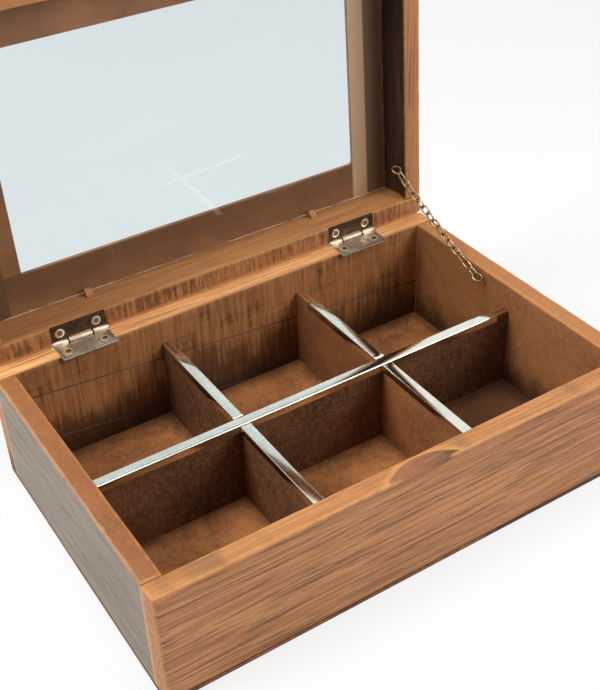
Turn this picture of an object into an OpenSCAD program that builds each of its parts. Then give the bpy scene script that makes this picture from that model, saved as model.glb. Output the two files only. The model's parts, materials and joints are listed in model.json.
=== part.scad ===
// Tea bag organizer box: a wooden box with six compartments under a glazed, hinged lid.
// The origin is the centre of the underside. +X is to the right, +Y to the back, +Z up.
// Lid pieces are drawn closed, on top of the box, and then swung open about the hinge axis.

/* [Box] */
// Outside width, left to right
box_w = 240; // [220:1:280]
// Outside depth, front to back
box_d = 161; // [150:1:190]
// Height of the box from its underside to its rim
box_h = 58; // [54:1:76]
// Thickness of the four walls
wall_t = 9.3; // [8.6:0.1:11]
// Thickness of the base board under the walls
base_t = 2.8; // [2:0.1:4]
// Radius that eases the long edges of the rims
ease_r = 1.1; // [0.5:0.1:1.8]
// Radius of the upright outer corners
corner_r = 1.6; // [0.8:0.1:3]
// Width of the thumb scoop in the front rim
scoop_w = 36.5; // [28:0.5:46]
// How far the scoop reaches back across the rim
scoop_reach = 7.3; // [5:0.1:7.6]
// How far the scoop drops down the front face
scoop_drop = 2.4; // [2:0.1:5]

/* [Dividers] */
// Thickness of the divider boards
divider_t = 4; // [3:0.1:5]
// Distance from the rim down to the top of the divider boards
divider_drop = 13.6; // [12.5:0.1:16]
// Wall thickness of the metal edge strips
strip_t = 0.5; // [0.4:0.05:0.8]
// How far a strip's flanges reach down the board
strip_flange = 3.2; // [2:0.1:6]
// Bare board at the right end of the long strip
long_strip_bare = 7.5; // [2:0.5:15]
// Bare board at the back end of the short strips
short_strip_bare = 11; // [2:0.5:18]
// Gap between a short strip and the long one
strip_gap = 0.6; // [0.3:0.1:3]
// Gap between a short strip and the front wall
strip_wall_gap = 1; // [0.3:0.1:3]

/* [Lid] */
// Angle that the lid is opened from shut
lid_open = 92.7; // [91:0.1:96]
// Gap between the two rims when the lid is shut
rim_gap = 0.1; // [0.05:0.05:1]
// Thickness of the lid's rails
rail_t = 9.4; // [8.6:0.1:11]
// Depth of the lid's hollow, from its rim to the glass
lid_hollow = 17.4; // [15:0.1:24]
// Thickness of the glass
glass_t = 2; // [1.6:0.1:3]
// Gap between the glass and the rails
glass_gap = 1.2; // [0.5:0.1:2]
// Thickness of the lid's top panel
panel_t = 3.4; // [2.5:0.1:5]
// Width of the panel's border round the window
window_border = 29.3; // [20:0.1:36]
// Corner radius of the window
window_r = 1.8; // [1:0.1:10]
// Length of a glazing tab
tab_l = 3.6; // [3:0.1:8]
// Distance from each end of the lid to the middle of a glazing tab
tab_end = 57.5; // [45:0.5:70]

/* [Hinges] */
// Height of the hinge pin's axis over the box's rim
pin_rise = 0.25; // [0.15:0.05:0.6]
// Radius that eases the rims' outer edges along the hinges
hinge_ease_r = 0.3; // [0.1:0.1:1.1]
// Distance from each end of the box to the middle of a hinge
hinge_end = 44.5; // [35:0.5:60]
// Length of a hinge
hinge_l = 27; // [24:0.5:32]
// Width of a box leaf, from the pin's axis to its free edge
leaf_w = 12.8; // [11:0.1:13.5]
// Width of a lid leaf, from the pin's axis to its free edge
lid_leaf_w = 9.2; // [8.8:0.1:9.4]
// Thickness of a leaf
leaf_t = 0.8; // [0.7:0.1:1.2]
// Outside diameter of the knuckles
knuckle_d = 3.2; // [2.9:0.1:3.6]
// Diameter of the hinge pin
pin_d = 1.5; // [1.2:0.1:1.7]
// Share of the hinge's length that the middle knuckle takes
mid_knuckle = 0.45; // [0.35:0.01:0.5]
// Distance from each end of a hinge to its screws
screw_end = 4.5; // [3.5:0.1:5.5]
// Distance from the pin's axis to the screws in the box
box_screw_y = 7.2; // [6:0.1:7.4]
// Distance from the pin's axis to the screws in the lid
lid_screw_y = 4.8; // [4.4:0.1:6]
// Diameter of a screw's head
screw_head_d = 4.8; // [3.8:0.1:5]
// Diameter of a screw's shank
screw_d = 1.9; // [1.5:0.1:2.2]
// Length of a screw
screw_l = 11; // [8:0.5:14]

/* [Chain] */
// Number of chain links, an odd number
links = 15; // [15:2:15]
// Diameter of the chain's wire
wire_d = 0.9; // [0.8:0.05:1]
// Outside length of a link
link_l = 6.5; // [6.4:0.1:7.2]
// Outside width of a link
link_w = 4.2; // [4.1:0.1:4.6]
// Angle that the hanging chain turns through from end to end
chain_sag = 8; // [6:1:20]
// Radius of a screw eye, to the middle of its wire
eye_r = 2.4; // [2.2:0.1:2.8]
// Diameter of a screw eye's wire
eye_wire_d = 1; // [0.9:0.05:1.1]
// Length of a screw eye's shank inside the wood
eye_shank = 7; // [5:0.5:8]
// Gap between the screw eyes and the lid's rail
chain_gap = 0.1; // [0.1:0.1:3]
// Distance from the hinge axis to the lid's eye, along the lid
lid_eye_u = 26.4; // [20:0.1:30]
// Distance from the lid's rim to its eye
lid_eye_v = 3.7; // [3.5:0.1:12]
// Distance from the box's rim down to its eye
box_eye_drop = 4; // [3.8:0.1:8]

/* [Brads] */
// Diameter of the brads that hold the base board
brad_d = 1.2; // [0.8:0.1:1.8]
// Length of a brad
brad_l = 14; // [10:0.5:20]
// Brads along each long side of the base board
brads_long = 4; // [2:1:8]

/* [Fits] */
// Gap round boards and strips that are glued or pressed in place
fit = 0.1; // [0.05:0.05:0.2]
// Radial clearance of pins, screws and shanks in their holes
pin_fit = 0.05; // [0.02:0.01:0.08]
// Radial clearance between a knuckle and what turns past it
swing_fit = 0.3; // [0.2:0.05:0.4]

/* [Hidden] */
$fn = 48;

wood = "peru";
worn_wood = "sienna";
board = "saddlebrown";
steel = "lightsteelblue";
bronze = "tan";
brass = "gold";

eps = 0.01;
// How far a cut runs past the face that it opens
past = 1;
half_w = box_w / 2;
half_d = box_d / 2;
in_x = half_w - wall_t;
in_y = half_d - wall_t;
wall_h = box_h - base_t;

// Dividers: three equal compartments across and two from front to back
divider_top = box_h - divider_drop;
divider_h = divider_top - base_t;
cell_w = (2 * in_x - 2 * divider_t) / 3;
cross_x = (cell_w + divider_t) / 2;
strip_w = divider_t + 2 * (fit / 2 + strip_t);
strip_r = strip_t * 0.9;
strip_top = divider_top + strip_t;

// Lid, closed: its rim lies rim_gap over the box's rim
lid_z = box_h + rim_gap;
rail_h = lid_hollow + glass_t;
hinge_y = half_d;
hinge_z = box_h + pin_rise;
hinge_x = half_w - hinge_end;
tab_x = half_w - tab_end;
lid_in_x = half_w - rail_t;
lid_in_y = half_d - rail_t;

// Knuckles
mid_l = hinge_l * mid_knuckle;
screw_x = hinge_l / 2 - screw_end;
knuckle_gap = 0.15;
swing_r = knuckle_d / 2 + swing_fit;
pin_head_t = 0.6;
pin_head_r = pin_d / 2 + 0.3;
pin_l = hinge_l + 2 * (fit + pin_head_t);
screw_sink = leaf_t;
recess_w = 0.5;
recess_depth = 0.6;
recess_l = screw_head_d * 0.55;

// Chain: every pivot turns about X, at the arc centres of the upright links
arc_r = (link_w - wire_d) / 2;
link_span = link_l - link_w;
hook = arc_r - wire_d - pin_fit;
eye_hook = arc_r - (wire_d + eye_wire_d) / 2 - pin_fit;
flat_span = link_l - wire_d + 2 * hook;
chain_x = min(in_x, lid_in_x) - eye_r - eye_wire_d / 2 - chain_gap;
function is_upright(i) = i % 2 == 1;
function span(i) = is_upright(i) ? link_span : flat_span;
// Direction of link i from the chord between the eyes, in degrees
function turn(i) = chain_sag * ((i - 1) / (links - 1) - 0.5);
function along(i) = i == 0 ? 0 : along(i - 1) + span(i) * cos(turn(i));
function across(i) = i == 0 ? 0 : across(i - 1) + span(i) * sin(turn(i));
chord = along(links) + 2 * (eye_r + eye_hook);

// The lid's eye is turned open with the lid, and the box's eye lies one chord away
function opened(y, z) = [
    hinge_y + (y - hinge_y) * cos(lid_open) + (z - hinge_z) * sin(lid_open),
    hinge_z - (y - hinge_y) * sin(lid_open) + (z - hinge_z) * cos(lid_open)];
lid_eye = opened(hinge_y - lid_eye_u, lid_z + lid_eye_v);
box_eye_z = box_h - box_eye_drop;
chord_rise = lid_eye[1] - box_eye_z;
chord_angle = asin(chord_rise / chord);
box_eye = [lid_eye[0] - chord * cos(chord_angle), box_eye_z];
// Pivot i lies at the far end of link i, and pivot 0 at the box's eye
function on_chord(a, b) = [
    box_eye[0] + a * cos(chord_angle) - b * sin(chord_angle),
    box_eye[1] + a * sin(chord_angle) + b * cos(chord_angle)];
function pivot(i) = on_chord(eye_r + eye_hook + along(i), across(i));

// ---- Shared shapes ----

// Rectangle whose two upper corners are rounded, from x = 0 to t and y = 0 to h. The far corner's
// radius is no larger than the near one's.
module eased_profile(t, h, r, far_r) {
    square([t, h - r]);
    translate([r, 0]) square([t - r, h - far_r]);
    translate([r, 0]) square([t - r - far_r, h]);
    translate([r, h - r]) circle(r);
    translate([t - far_r, h - far_r]) circle(far_r);
}

// Rectangle about the origin with four rounded corners
module round_rect(w, d, r) {
    square([w - 2 * r, d], center = true);
    square([w, d - 2 * r], center = true);
    for (x = [-1, 1], y = [-1, 1])
        translate([x * (w / 2 - r), y * (d / 2 - r)]) circle(r);
}

// Board along X with eased upper edges: its front face at y, its underside at z
module board_x(length, t, h, y, z, back_r = ease_r) {
    translate([-length / 2, y, z]) rotate([90, 0, 90]) linear_extrude(length) eased_profile(t, h, ease_r, back_r);
}

// Board along Y with eased upper edges: its left face at x, its underside at z
module board_y(length, t, h, x, z) {
    translate([x, length / 2, z]) rotate([90, 0, 0]) linear_extrude(length) eased_profile(t, h, ease_r, ease_r);
}

// Upright block with the box's outline and rounded upright corners
module outline_block(z, h) {
    translate([0, 0, z]) linear_extrude(h) round_rect(box_w, box_d, corner_r);
}

// Swings a piece from the closed lid to the open one
module swing_open() {
    translate([0, hinge_y, hinge_z]) rotate([-lid_open, 0, 0]) translate([0, -hinge_y, -hinge_z]) children();
}

// Mirrors what is drawn for the box about the level of the pin, for the lid
module flip_to_lid() {
    translate([0, 0, hinge_z]) mirror([0, 0, 1]) translate([0, 0, -hinge_z]) children();
}

// Cylinder along X, centred at x
module bar_x(r, length, x, y, z) {
    translate([x - length / 2, y, z]) rotate([0, 90, 0]) cylinder(r = r, h = length);
}

// ---- Cuts ----

// Room for one leaf and for the knuckles in the box's back wall
module hinge_mortise(x) {
    translate([x - hinge_l / 2 - fit, in_y - past, box_h - leaf_t])
        cube([hinge_l + 2 * fit, wall_t + 2 * past, leaf_t + past]);
    bar_x(swing_r, pin_l + 2 * fit, x, hinge_y, hinge_z);
}

module screw_holes(x, offset) {
    for (s = [-1, 1])
        translate([x + s * screw_x, hinge_y - offset, box_h - screw_l - past])
            cylinder(r = screw_d / 2 + pin_fit, h = screw_l + 2 * past);
}

// Sphere whose cut reaches scoop_reach across the rim and scoop_drop down the face
module scoop_cut() {
    out = (pow(scoop_w / 2, 2) - pow(scoop_reach, 2)) / (2 * scoop_reach);
    up = (pow(scoop_w / 2, 2) - pow(scoop_drop, 2)) / (2 * scoop_drop);
    translate([0, -half_d - out, box_h + up])
        sphere(r = sqrt(pow(scoop_w / 2, 2) + out * out + up * up), $fn = 96);
}

// ---- Box ----

brad_y = half_d - wall_t / 2;
brad_side_x = half_w - wall_t / 2;
brad_head_r = brad_d * 0.9;
brad_head_t = 0.6;
brad_step = box_w * 0.28;
// Places of the base brads: rows under the front and back walls, and two under each side wall
function brad_places() = concat(
    [for (k = [0:brads_long - 1], y = [-1, 1]) [(k - (brads_long - 1) / 2) * brad_step, y * brad_y]],
    [for (x = [-1, 1], y = [-1, 1]) [x * brad_side_x, y * in_y / 2]]);

module brad_holes() {
    for (p = brad_places())
        translate([p[0], p[1], -eps]) {
            cylinder(r = brad_d / 2 + pin_fit, h = brad_l + fit);
            cylinder(r = brad_head_r + pin_fit, h = brad_head_t + eps);
        }
}

module base_board() {
    color(worn_wood) difference() {
        outline_block(0, base_t);
        brad_holes();
    }
}

module base_brads() {
    color(steel) for (p = brad_places())
        translate([p[0], p[1], 0]) {
            cylinder(r = brad_d / 2, h = brad_l);
            cylinder(r = brad_head_r, h = brad_head_t);
        }
}

module front_wall() {
    color(wood) difference() {
        intersection() {
            board_x(box_w, wall_t, wall_h, -half_d, base_t);
            outline_block(0, box_h);
        }
        scoop_cut();
        brad_holes();
    }
}

module back_wall() {
    color(wood) difference() {
        intersection() {
            board_x(box_w, wall_t, wall_h, in_y, base_t, hinge_ease_r);
            outline_block(0, box_h);
        }
        for (s = [-1, 1]) {
            hinge_mortise(s * hinge_x);
            screw_holes(s * hinge_x, box_screw_y);
        }
        brad_holes();
    }
}

module left_wall() {
    color(wood) difference() {
        board_y(2 * in_y, wall_t, wall_h, -half_w, base_t);
        brad_holes();
    }
}

module right_wall() {
    color(wood) difference() {
        board_y(2 * in_y, wall_t, wall_h, in_x, base_t);
        bar_x(eye_wire_d / 2 + pin_fit, 2 * (eye_shank + fit), in_x, box_eye[0], box_eye[1]);
        brad_holes();
    }
}

// ---- Dividers ----

lap_w = divider_t + fit;
lap_z = base_t + divider_h / 2;

// The long board is notched from below where the cross boards pass
module long_divider() {
    color(board) difference() {
        translate([-in_x, -divider_t / 2, base_t]) cube([2 * in_x, divider_t, divider_h]);
        for (s = [-1, 1])
            translate([s * cross_x - lap_w / 2, -divider_t, base_t - past])
                cube([lap_w, 2 * divider_t, lap_z - base_t + past]);
    }
}

// A cross board is notched from above where the long board and its strip pass
module cross_divider(x) {
    color(board) difference() {
        translate([x - divider_t / 2, -in_y, base_t]) cube([divider_t, 2 * in_y, divider_h]);
        translate([x - divider_t, -lap_w / 2, lap_z]) cube([2 * divider_t, lap_w, divider_h]);
        translate([x - divider_t, -strip_w / 2 - fit, divider_top - strip_flange - fit])
            cube([2 * divider_t, strip_w + 2 * fit, divider_h]);
    }
}
module cross_divider_left() { cross_divider(-cross_x); }
module cross_divider_right() { cross_divider(cross_x); }

// Section of an edge strip, centred on the board: a channel with rounded outer edges
module strip_section() {
    difference() {
        translate([-strip_w / 2, 0]) eased_profile(strip_w, strip_flange + strip_t, strip_r, strip_r);
        translate([-divider_t / 2 - fit / 2, -past]) square([divider_t + fit, strip_flange + past]);
    }
}

module long_edge_strip() {
    x0 = -in_x + fit;
    x1 = in_x - long_strip_bare;
    color(steel) translate([x0, 0, divider_top - strip_flange])
        rotate([90, 0, 90]) linear_extrude(x1 - x0) strip_section();
}

module short_edge_strip(x, y0, y1) {
    color(steel) translate([x, y1, divider_top - strip_flange])
        rotate([90, 0, 0]) linear_extrude(y1 - y0) strip_section();
}
strip_near = strip_w / 2 + strip_gap;
module edge_strip_left_front() { short_edge_strip(-cross_x, -in_y + strip_wall_gap, -strip_near); }
module edge_strip_left_back() { short_edge_strip(-cross_x, strip_near, in_y - short_strip_bare); }
module edge_strip_right_front() { short_edge_strip(cross_x, -in_y + strip_wall_gap, -strip_near); }
module edge_strip_right_back() { short_edge_strip(cross_x, strip_near, in_y - short_strip_bare); }

// ---- Hinges ----

// A leaf with its knuckles, drawn for the box. The outer knuckles or the middle one stay on it.
module leaf(x, width, offset, keep_outer) {
    outer_l = (hinge_l - mid_l) / 2;
    color(bronze) difference() {
        union() {
            translate([x - hinge_l / 2, hinge_y - width, box_h - leaf_t]) cube([hinge_l, width, leaf_t]);
            bar_x(knuckle_d / 2, hinge_l, x, hinge_y, hinge_z);
        }
        if (keep_outer) {
            bar_x(swing_r, mid_l + 2 * knuckle_gap, x, hinge_y, hinge_z);
        } else {
            for (s = [-1, 1])
                bar_x(swing_r, outer_l + past, x + s * (hinge_l - outer_l + past) / 2, hinge_y, hinge_z);
        }
        bar_x(pin_d / 2 + pin_fit, hinge_l + 2 * past, x, hinge_y, hinge_z);
        for (s = [-1, 1])
            translate([x + s * screw_x, hinge_y - offset, box_h]) screw_seat();
    }
}

// A countersunk screw with its head at z = 0, pointing down
module screw_body() {
    head_r = screw_head_d / 2;
    shank_r = screw_d / 2;
    rotate_extrude() polygon([[0, 0], [head_r, 0], [shank_r, -screw_sink], [shank_r, -screw_l], [0, -screw_l]]);
}

// The countersunk hole for it through a leaf
module screw_seat() {
    head_r = screw_head_d / 2 + pin_fit;
    hole_r = screw_d / 2 + pin_fit;
    rotate_extrude() polygon([[0, past], [head_r, past], [head_r, 0], [hole_r, -screw_sink], [hole_r, -screw_l], [0, -screw_l]]);
}

module screw(x, y) {
    translate([x, y, box_h]) difference() {
        screw_body();
        for (a = [0, 90])
            rotate([0, 0, a]) translate([-recess_l / 2, -recess_w / 2, -recess_depth])
                cube([recess_l, recess_w, recess_depth + past]);
    }
}

module hinge_pin(x) {
    color(bronze) {
        bar_x(pin_d / 2, pin_l, x, hinge_y, hinge_z);
        for (s = [-1, 1])
            bar_x(pin_head_r, pin_head_t, x + s * (pin_l - pin_head_t) / 2, hinge_y, hinge_z);
    }
}

module hinge_left_box_leaf() { leaf(-hinge_x, leaf_w, box_screw_y, true); }
module hinge_right_box_leaf() { leaf(hinge_x, leaf_w, box_screw_y, true); }
module hinge_left_lid_leaf() { swing_open() flip_to_lid() leaf(-hinge_x, lid_leaf_w, lid_screw_y, false); }
module hinge_right_lid_leaf() { swing_open() flip_to_lid() leaf(hinge_x, lid_leaf_w, lid_screw_y, false); }
module hinge_left_pin() { hinge_pin(-hinge_x); }
module hinge_right_pin() { hinge_pin(hinge_x); }

module box_leaf_screws() {
    color(bronze) for (x = [-hinge_x + screw_x, hinge_x - screw_x, hinge_x + screw_x])
        screw(x, hinge_y - box_screw_y);
}
module brass_screw() {
    color(brass) screw(-hinge_x - screw_x, hinge_y - box_screw_y);
}
module lid_leaf_screws() {
    color(bronze) swing_open() flip_to_lid() for (h = [-1, 1], s = [-1, 1])
        screw(h * hinge_x + s * screw_x, hinge_y - lid_screw_y);
}

// ---- Lid ----

// A rail's rim is its eased edge, so a rail is a board turned upside down
module rail_x(y, back_r = ease_r) {
    translate([0, 0, lid_z + rail_h]) mirror([0, 0, 1]) board_x(box_w, rail_t, rail_h, y, 0, back_r);
}

module lid_front_rail() {
    color(wood) swing_open() intersection() {
        rail_x(-half_d);
        outline_block(lid_z, rail_h);
    }
}

module lid_back_rail() {
    color(wood) swing_open() difference() {
        intersection() {
            rail_x(lid_in_y, hinge_ease_r);
            outline_block(lid_z, rail_h);
        }
        flip_to_lid() for (s = [-1, 1]) {
            hinge_mortise(s * hinge_x);
            screw_holes(s * hinge_x, lid_screw_y);
        }
    }
}

module rail_y(x) {
    translate([0, 0, lid_z + rail_h]) mirror([0, 0, 1]) board_y(2 * lid_in_y, rail_t, rail_h, x, 0);
}
module lid_left_rail() {
    color(wood) swing_open() rail_y(-half_w);
}
module lid_right_rail() {
    color(wood) swing_open() difference() {
        rail_y(lid_in_x);
        bar_x(eye_wire_d / 2 + pin_fit, 2 * (eye_shank + fit), lid_in_x, hinge_y - lid_eye_u, lid_z + lid_eye_v);
    }
}

module lid_top_panel() {
    color(wood) swing_open() translate([0, 0, lid_z + rail_h]) linear_extrude(panel_t) difference() {
        round_rect(box_w, box_d, corner_r);
        round_rect(box_w - 2 * window_border, box_d - 2 * window_border, window_r);
    }
}

module glass_pane() {
    color("lightcyan", 0.35) swing_open()
        translate([-lid_in_x + glass_gap, -lid_in_y + glass_gap, lid_z + lid_hollow])
            cube([2 * (lid_in_x - glass_gap), 2 * (lid_in_y - glass_gap), glass_t]);
}

// Three-cornered blocks, glued to the rails, that hold the glass against the panel
tab_r = 3.4;
tab_edge = 1;
module glazing_tabs() {
    color(wood) swing_open() for (s = [-1, 1], m = [0, 1]) mirror([0, m, 0])
        translate([s * tab_x - tab_l / 2, lid_in_y, lid_z + lid_hollow]) rotate([90, 0, 90])
            linear_extrude(tab_l) polygon([[0, 0], [-tab_r, 0], [-tab_r, -tab_edge], [-tab_edge, -tab_r], [0, -tab_r]]);
}

// ---- Chain and screw eyes ----

// A closed ring of wire in the XY plane: two half circles joined by two straight runs along X
module oval_ring(radius, straight, wire) {
    for (s = [-1, 1])
        translate([s * straight / 2, 0, 0]) rotate([0, 0, s == 1 ? -90 : 90])
            rotate_extrude(angle = 180, $fn = 32) translate([radius, 0]) circle(r = wire / 2, $fn = 20);
    if (straight > 0)
        for (s = [-1, 1])
            bar_x(wire / 2, straight, 0, s * radius, 0, $fn = 20);
}

// Turns a ring so that its length runs along the chain at an angle above +Y
module along_chain(p, angle, upright) {
    translate([chain_x, p[0], p[1]]) rotate([angle, 0, 0]) rotate([0, 0, 90]) rotate([upright ? 90 : 0, 0, 0]) children();
}

module chain_link(i) {
    middle = (pivot(i - 1) + pivot(i)) / 2;
    color(bronze) along_chain(middle, chord_angle + turn(i), is_upright(i))
        oval_ring(arc_r, link_span, wire_d);
}

module screw_eye(p, inner_x) {
    color(bronze) {
        along_chain(p, chord_angle, false) oval_ring(eye_r, 0, eye_wire_d);
        translate([chain_x + eye_r, p[0], p[1]]) rotate([0, 90, 0])
            cylinder(r = eye_wire_d / 2, h = inner_x - chain_x - eye_r + eye_shank);
    }
}
module box_screw_eye() { screw_eye(box_eye, in_x); }
module lid_screw_eye() { screw_eye(lid_eye, lid_in_x); }

base_board();
front_wall();
back_wall();
left_wall();
right_wall();
base_brads();
long_divider();
cross_divider_left();
cross_divider_right();
long_edge_strip();
edge_strip_left_front();
edge_strip_left_back();
edge_strip_right_front();
edge_strip_right_back();
hinge_left_box_leaf();
hinge_right_box_leaf();
hinge_left_pin();
hinge_right_pin();
box_leaf_screws();
brass_screw();
box_screw_eye();
lid_front_rail();
lid_back_rail();
lid_left_rail();
lid_right_rail();
lid_top_panel();
glass_pane();
glazing_tabs();
hinge_left_lid_leaf();
hinge_right_lid_leaf();
lid_leaf_screws();
lid_screw_eye();
for (i = [1:links])
    chain_link(i);
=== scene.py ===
import json
import math

import bpy
import numpy as np
from bpy.props import FloatProperty, FloatVectorProperty, IntProperty, PointerProperty
from mathutils import Matrix, Vector


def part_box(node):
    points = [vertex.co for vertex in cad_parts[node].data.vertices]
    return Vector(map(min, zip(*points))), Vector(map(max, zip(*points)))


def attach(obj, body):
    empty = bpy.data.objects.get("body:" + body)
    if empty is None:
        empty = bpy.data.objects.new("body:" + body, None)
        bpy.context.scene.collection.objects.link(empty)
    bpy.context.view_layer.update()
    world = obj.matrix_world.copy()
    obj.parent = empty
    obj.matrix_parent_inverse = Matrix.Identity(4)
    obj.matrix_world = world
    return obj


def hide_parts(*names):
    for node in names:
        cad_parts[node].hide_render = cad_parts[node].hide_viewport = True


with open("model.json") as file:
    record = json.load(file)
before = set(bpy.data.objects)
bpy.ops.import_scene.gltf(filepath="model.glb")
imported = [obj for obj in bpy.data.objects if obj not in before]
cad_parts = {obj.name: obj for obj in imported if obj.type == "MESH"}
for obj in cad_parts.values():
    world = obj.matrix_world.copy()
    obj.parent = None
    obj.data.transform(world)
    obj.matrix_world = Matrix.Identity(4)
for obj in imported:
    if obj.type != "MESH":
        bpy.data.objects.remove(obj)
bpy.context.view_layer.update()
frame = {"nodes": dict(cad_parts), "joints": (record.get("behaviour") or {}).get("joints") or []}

bl_info = {
    "name": "Tea Bag Organizer Box",
    "version": (1, 0, 0),
    "blender": (4, 5, 0),
    "location": "View3D > Sidebar > Tea Box",
    "description": "Builds a stained wooden tea bag box with compartments and a glazed lid",
    "category": "Object",
}

MM = 0.001


# ---- Places taken from the frame ----

def joint(name):
    """The record's joint of that name."""
    return next(j for j in frame["joints"] if j["name"] == name)


HINGE = Vector(joint("lid_hinge")["pos_m"])
LID_OPEN = math.radians(joint("lid_hinge")["range_deg"][1])
TO_CLOSED = Matrix.Translation(HINGE) @ Matrix.Rotation(LID_OPEN, 4, "X") @ Matrix.Translation(-HINGE)
TO_OPEN = TO_CLOSED.inverted()
MIRROR = Matrix.Translation(HINGE) @ Matrix.Scale(-1, 4, (0, 0, 1)) @ Matrix.Translation(-HINGE)
FLIP_TO_LID = TO_OPEN @ MIRROR


def node_points(node, turn=Matrix.Identity(4)):
    """The vertices of a CAD node, turned by a matrix, as rows of a numpy array."""
    return np.array([turn @ v.co for v in frame["nodes"][node].data.vertices])


def closed_box(node):
    """Lowest and highest corner that a node of the lid has when the lid is shut."""
    points = node_points(node, TO_CLOSED)
    return Vector(points.min(0)), Vector(points.max(0))


def linear(red, green, blue):
    """A colour given as 0 to 255 on the screen, as a linear colour."""
    shares = (red / 255, green / 255, blue / 255)
    return tuple(((c + 0.055) / 1.055) ** 2.4 if c > 0.04 else c / 12.92 for c in shares)


# ---- Sizes and colours that a user would change ----

def length(name, description, value):
    """A length in metres, given in millimetres."""
    return FloatProperty(
        name=name, description=description, default=value * MM, min=0.0, unit="LENGTH", precision=5)


def colour(name, description, red, green, blue):
    """A colour, given as 0 to 255 on the screen."""
    return FloatVectorProperty(
        name=name, description=description, default=linear(red, green, blue),
        min=0.0, max=1.0, size=3, subtype="COLOR")


def power(name, description, value):
    """A light's power in watts."""
    return FloatProperty(name=name, description=description, default=value, min=0.0, unit="POWER")


class TeaBoxSizes(bpy.types.PropertyGroup):
    ease: length("Eased edge", "Rounding of the rims' edges", 1.1)
    corner: length("Corner", "Rounding of the upright outer corners", 1.6)
    wear: length("Wear", "How far the rims are worn down in places", 0.35)
    groove: length("Board joint", "Depth of the joints between the back's boards", 0.55)
    border: length("Window border", "Width of the lid's panel round its window", 29.3)
    window_corner: length("Window corner", "Corner radius of the window", 1.8)
    block: length("Glass block", "Length of the blocks that hold the glass", 3.6)
    scoop_width: length("Scoop width", "Width of the thumb scoop along the rim", 36.5)
    scoop_reach: length("Scoop reach", "How far the scoop reaches across the rim", 7.3)
    scoop_drop: length("Scoop drop", "How far the scoop runs down the front", 2.4)
    leaf: length("Leaf thickness", "Thickness of the hinges' leaves", 0.8)
    box_leaf: length("Box leaf", "Width of the box's leaves, from the pin", 12.8)
    lid_leaf: length("Lid leaf", "Width of the lid's leaves, from the pin", 9.2)
    screw_out: length("Screw spacing", "Distance of a hinge's screws from its middle", 9)
    box_screw_in: length("Box screws", "Distance from the pin to the box's screws", 7.2)
    lid_screw_in: length("Lid screws", "Distance from the pin to the lid's screws", 4.8)
    screw_head: length("Screw head", "Diameter of the screw heads", 4.8)
    chain_wire: length("Chain wire", "Diameter of the wire of the chain's links", 0.9)
    link_width: length("Link width", "Width of a chain link over its wire", 4.2)
    link_length: length("Link length", "Length of a chain link over its wire", 6.5)
    eye_radius: length("Eye", "Radius of the screw eyes, to the middle of their wire", 2.4)
    eye_wire: length("Eye wire", "Diameter of the screw eyes' wire", 1.0)
    rim_cuts: IntProperty(
        name="Rim cuts", description="Cuts along a board, which let its edge wear unevenly",
        default=70, min=8)


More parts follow.
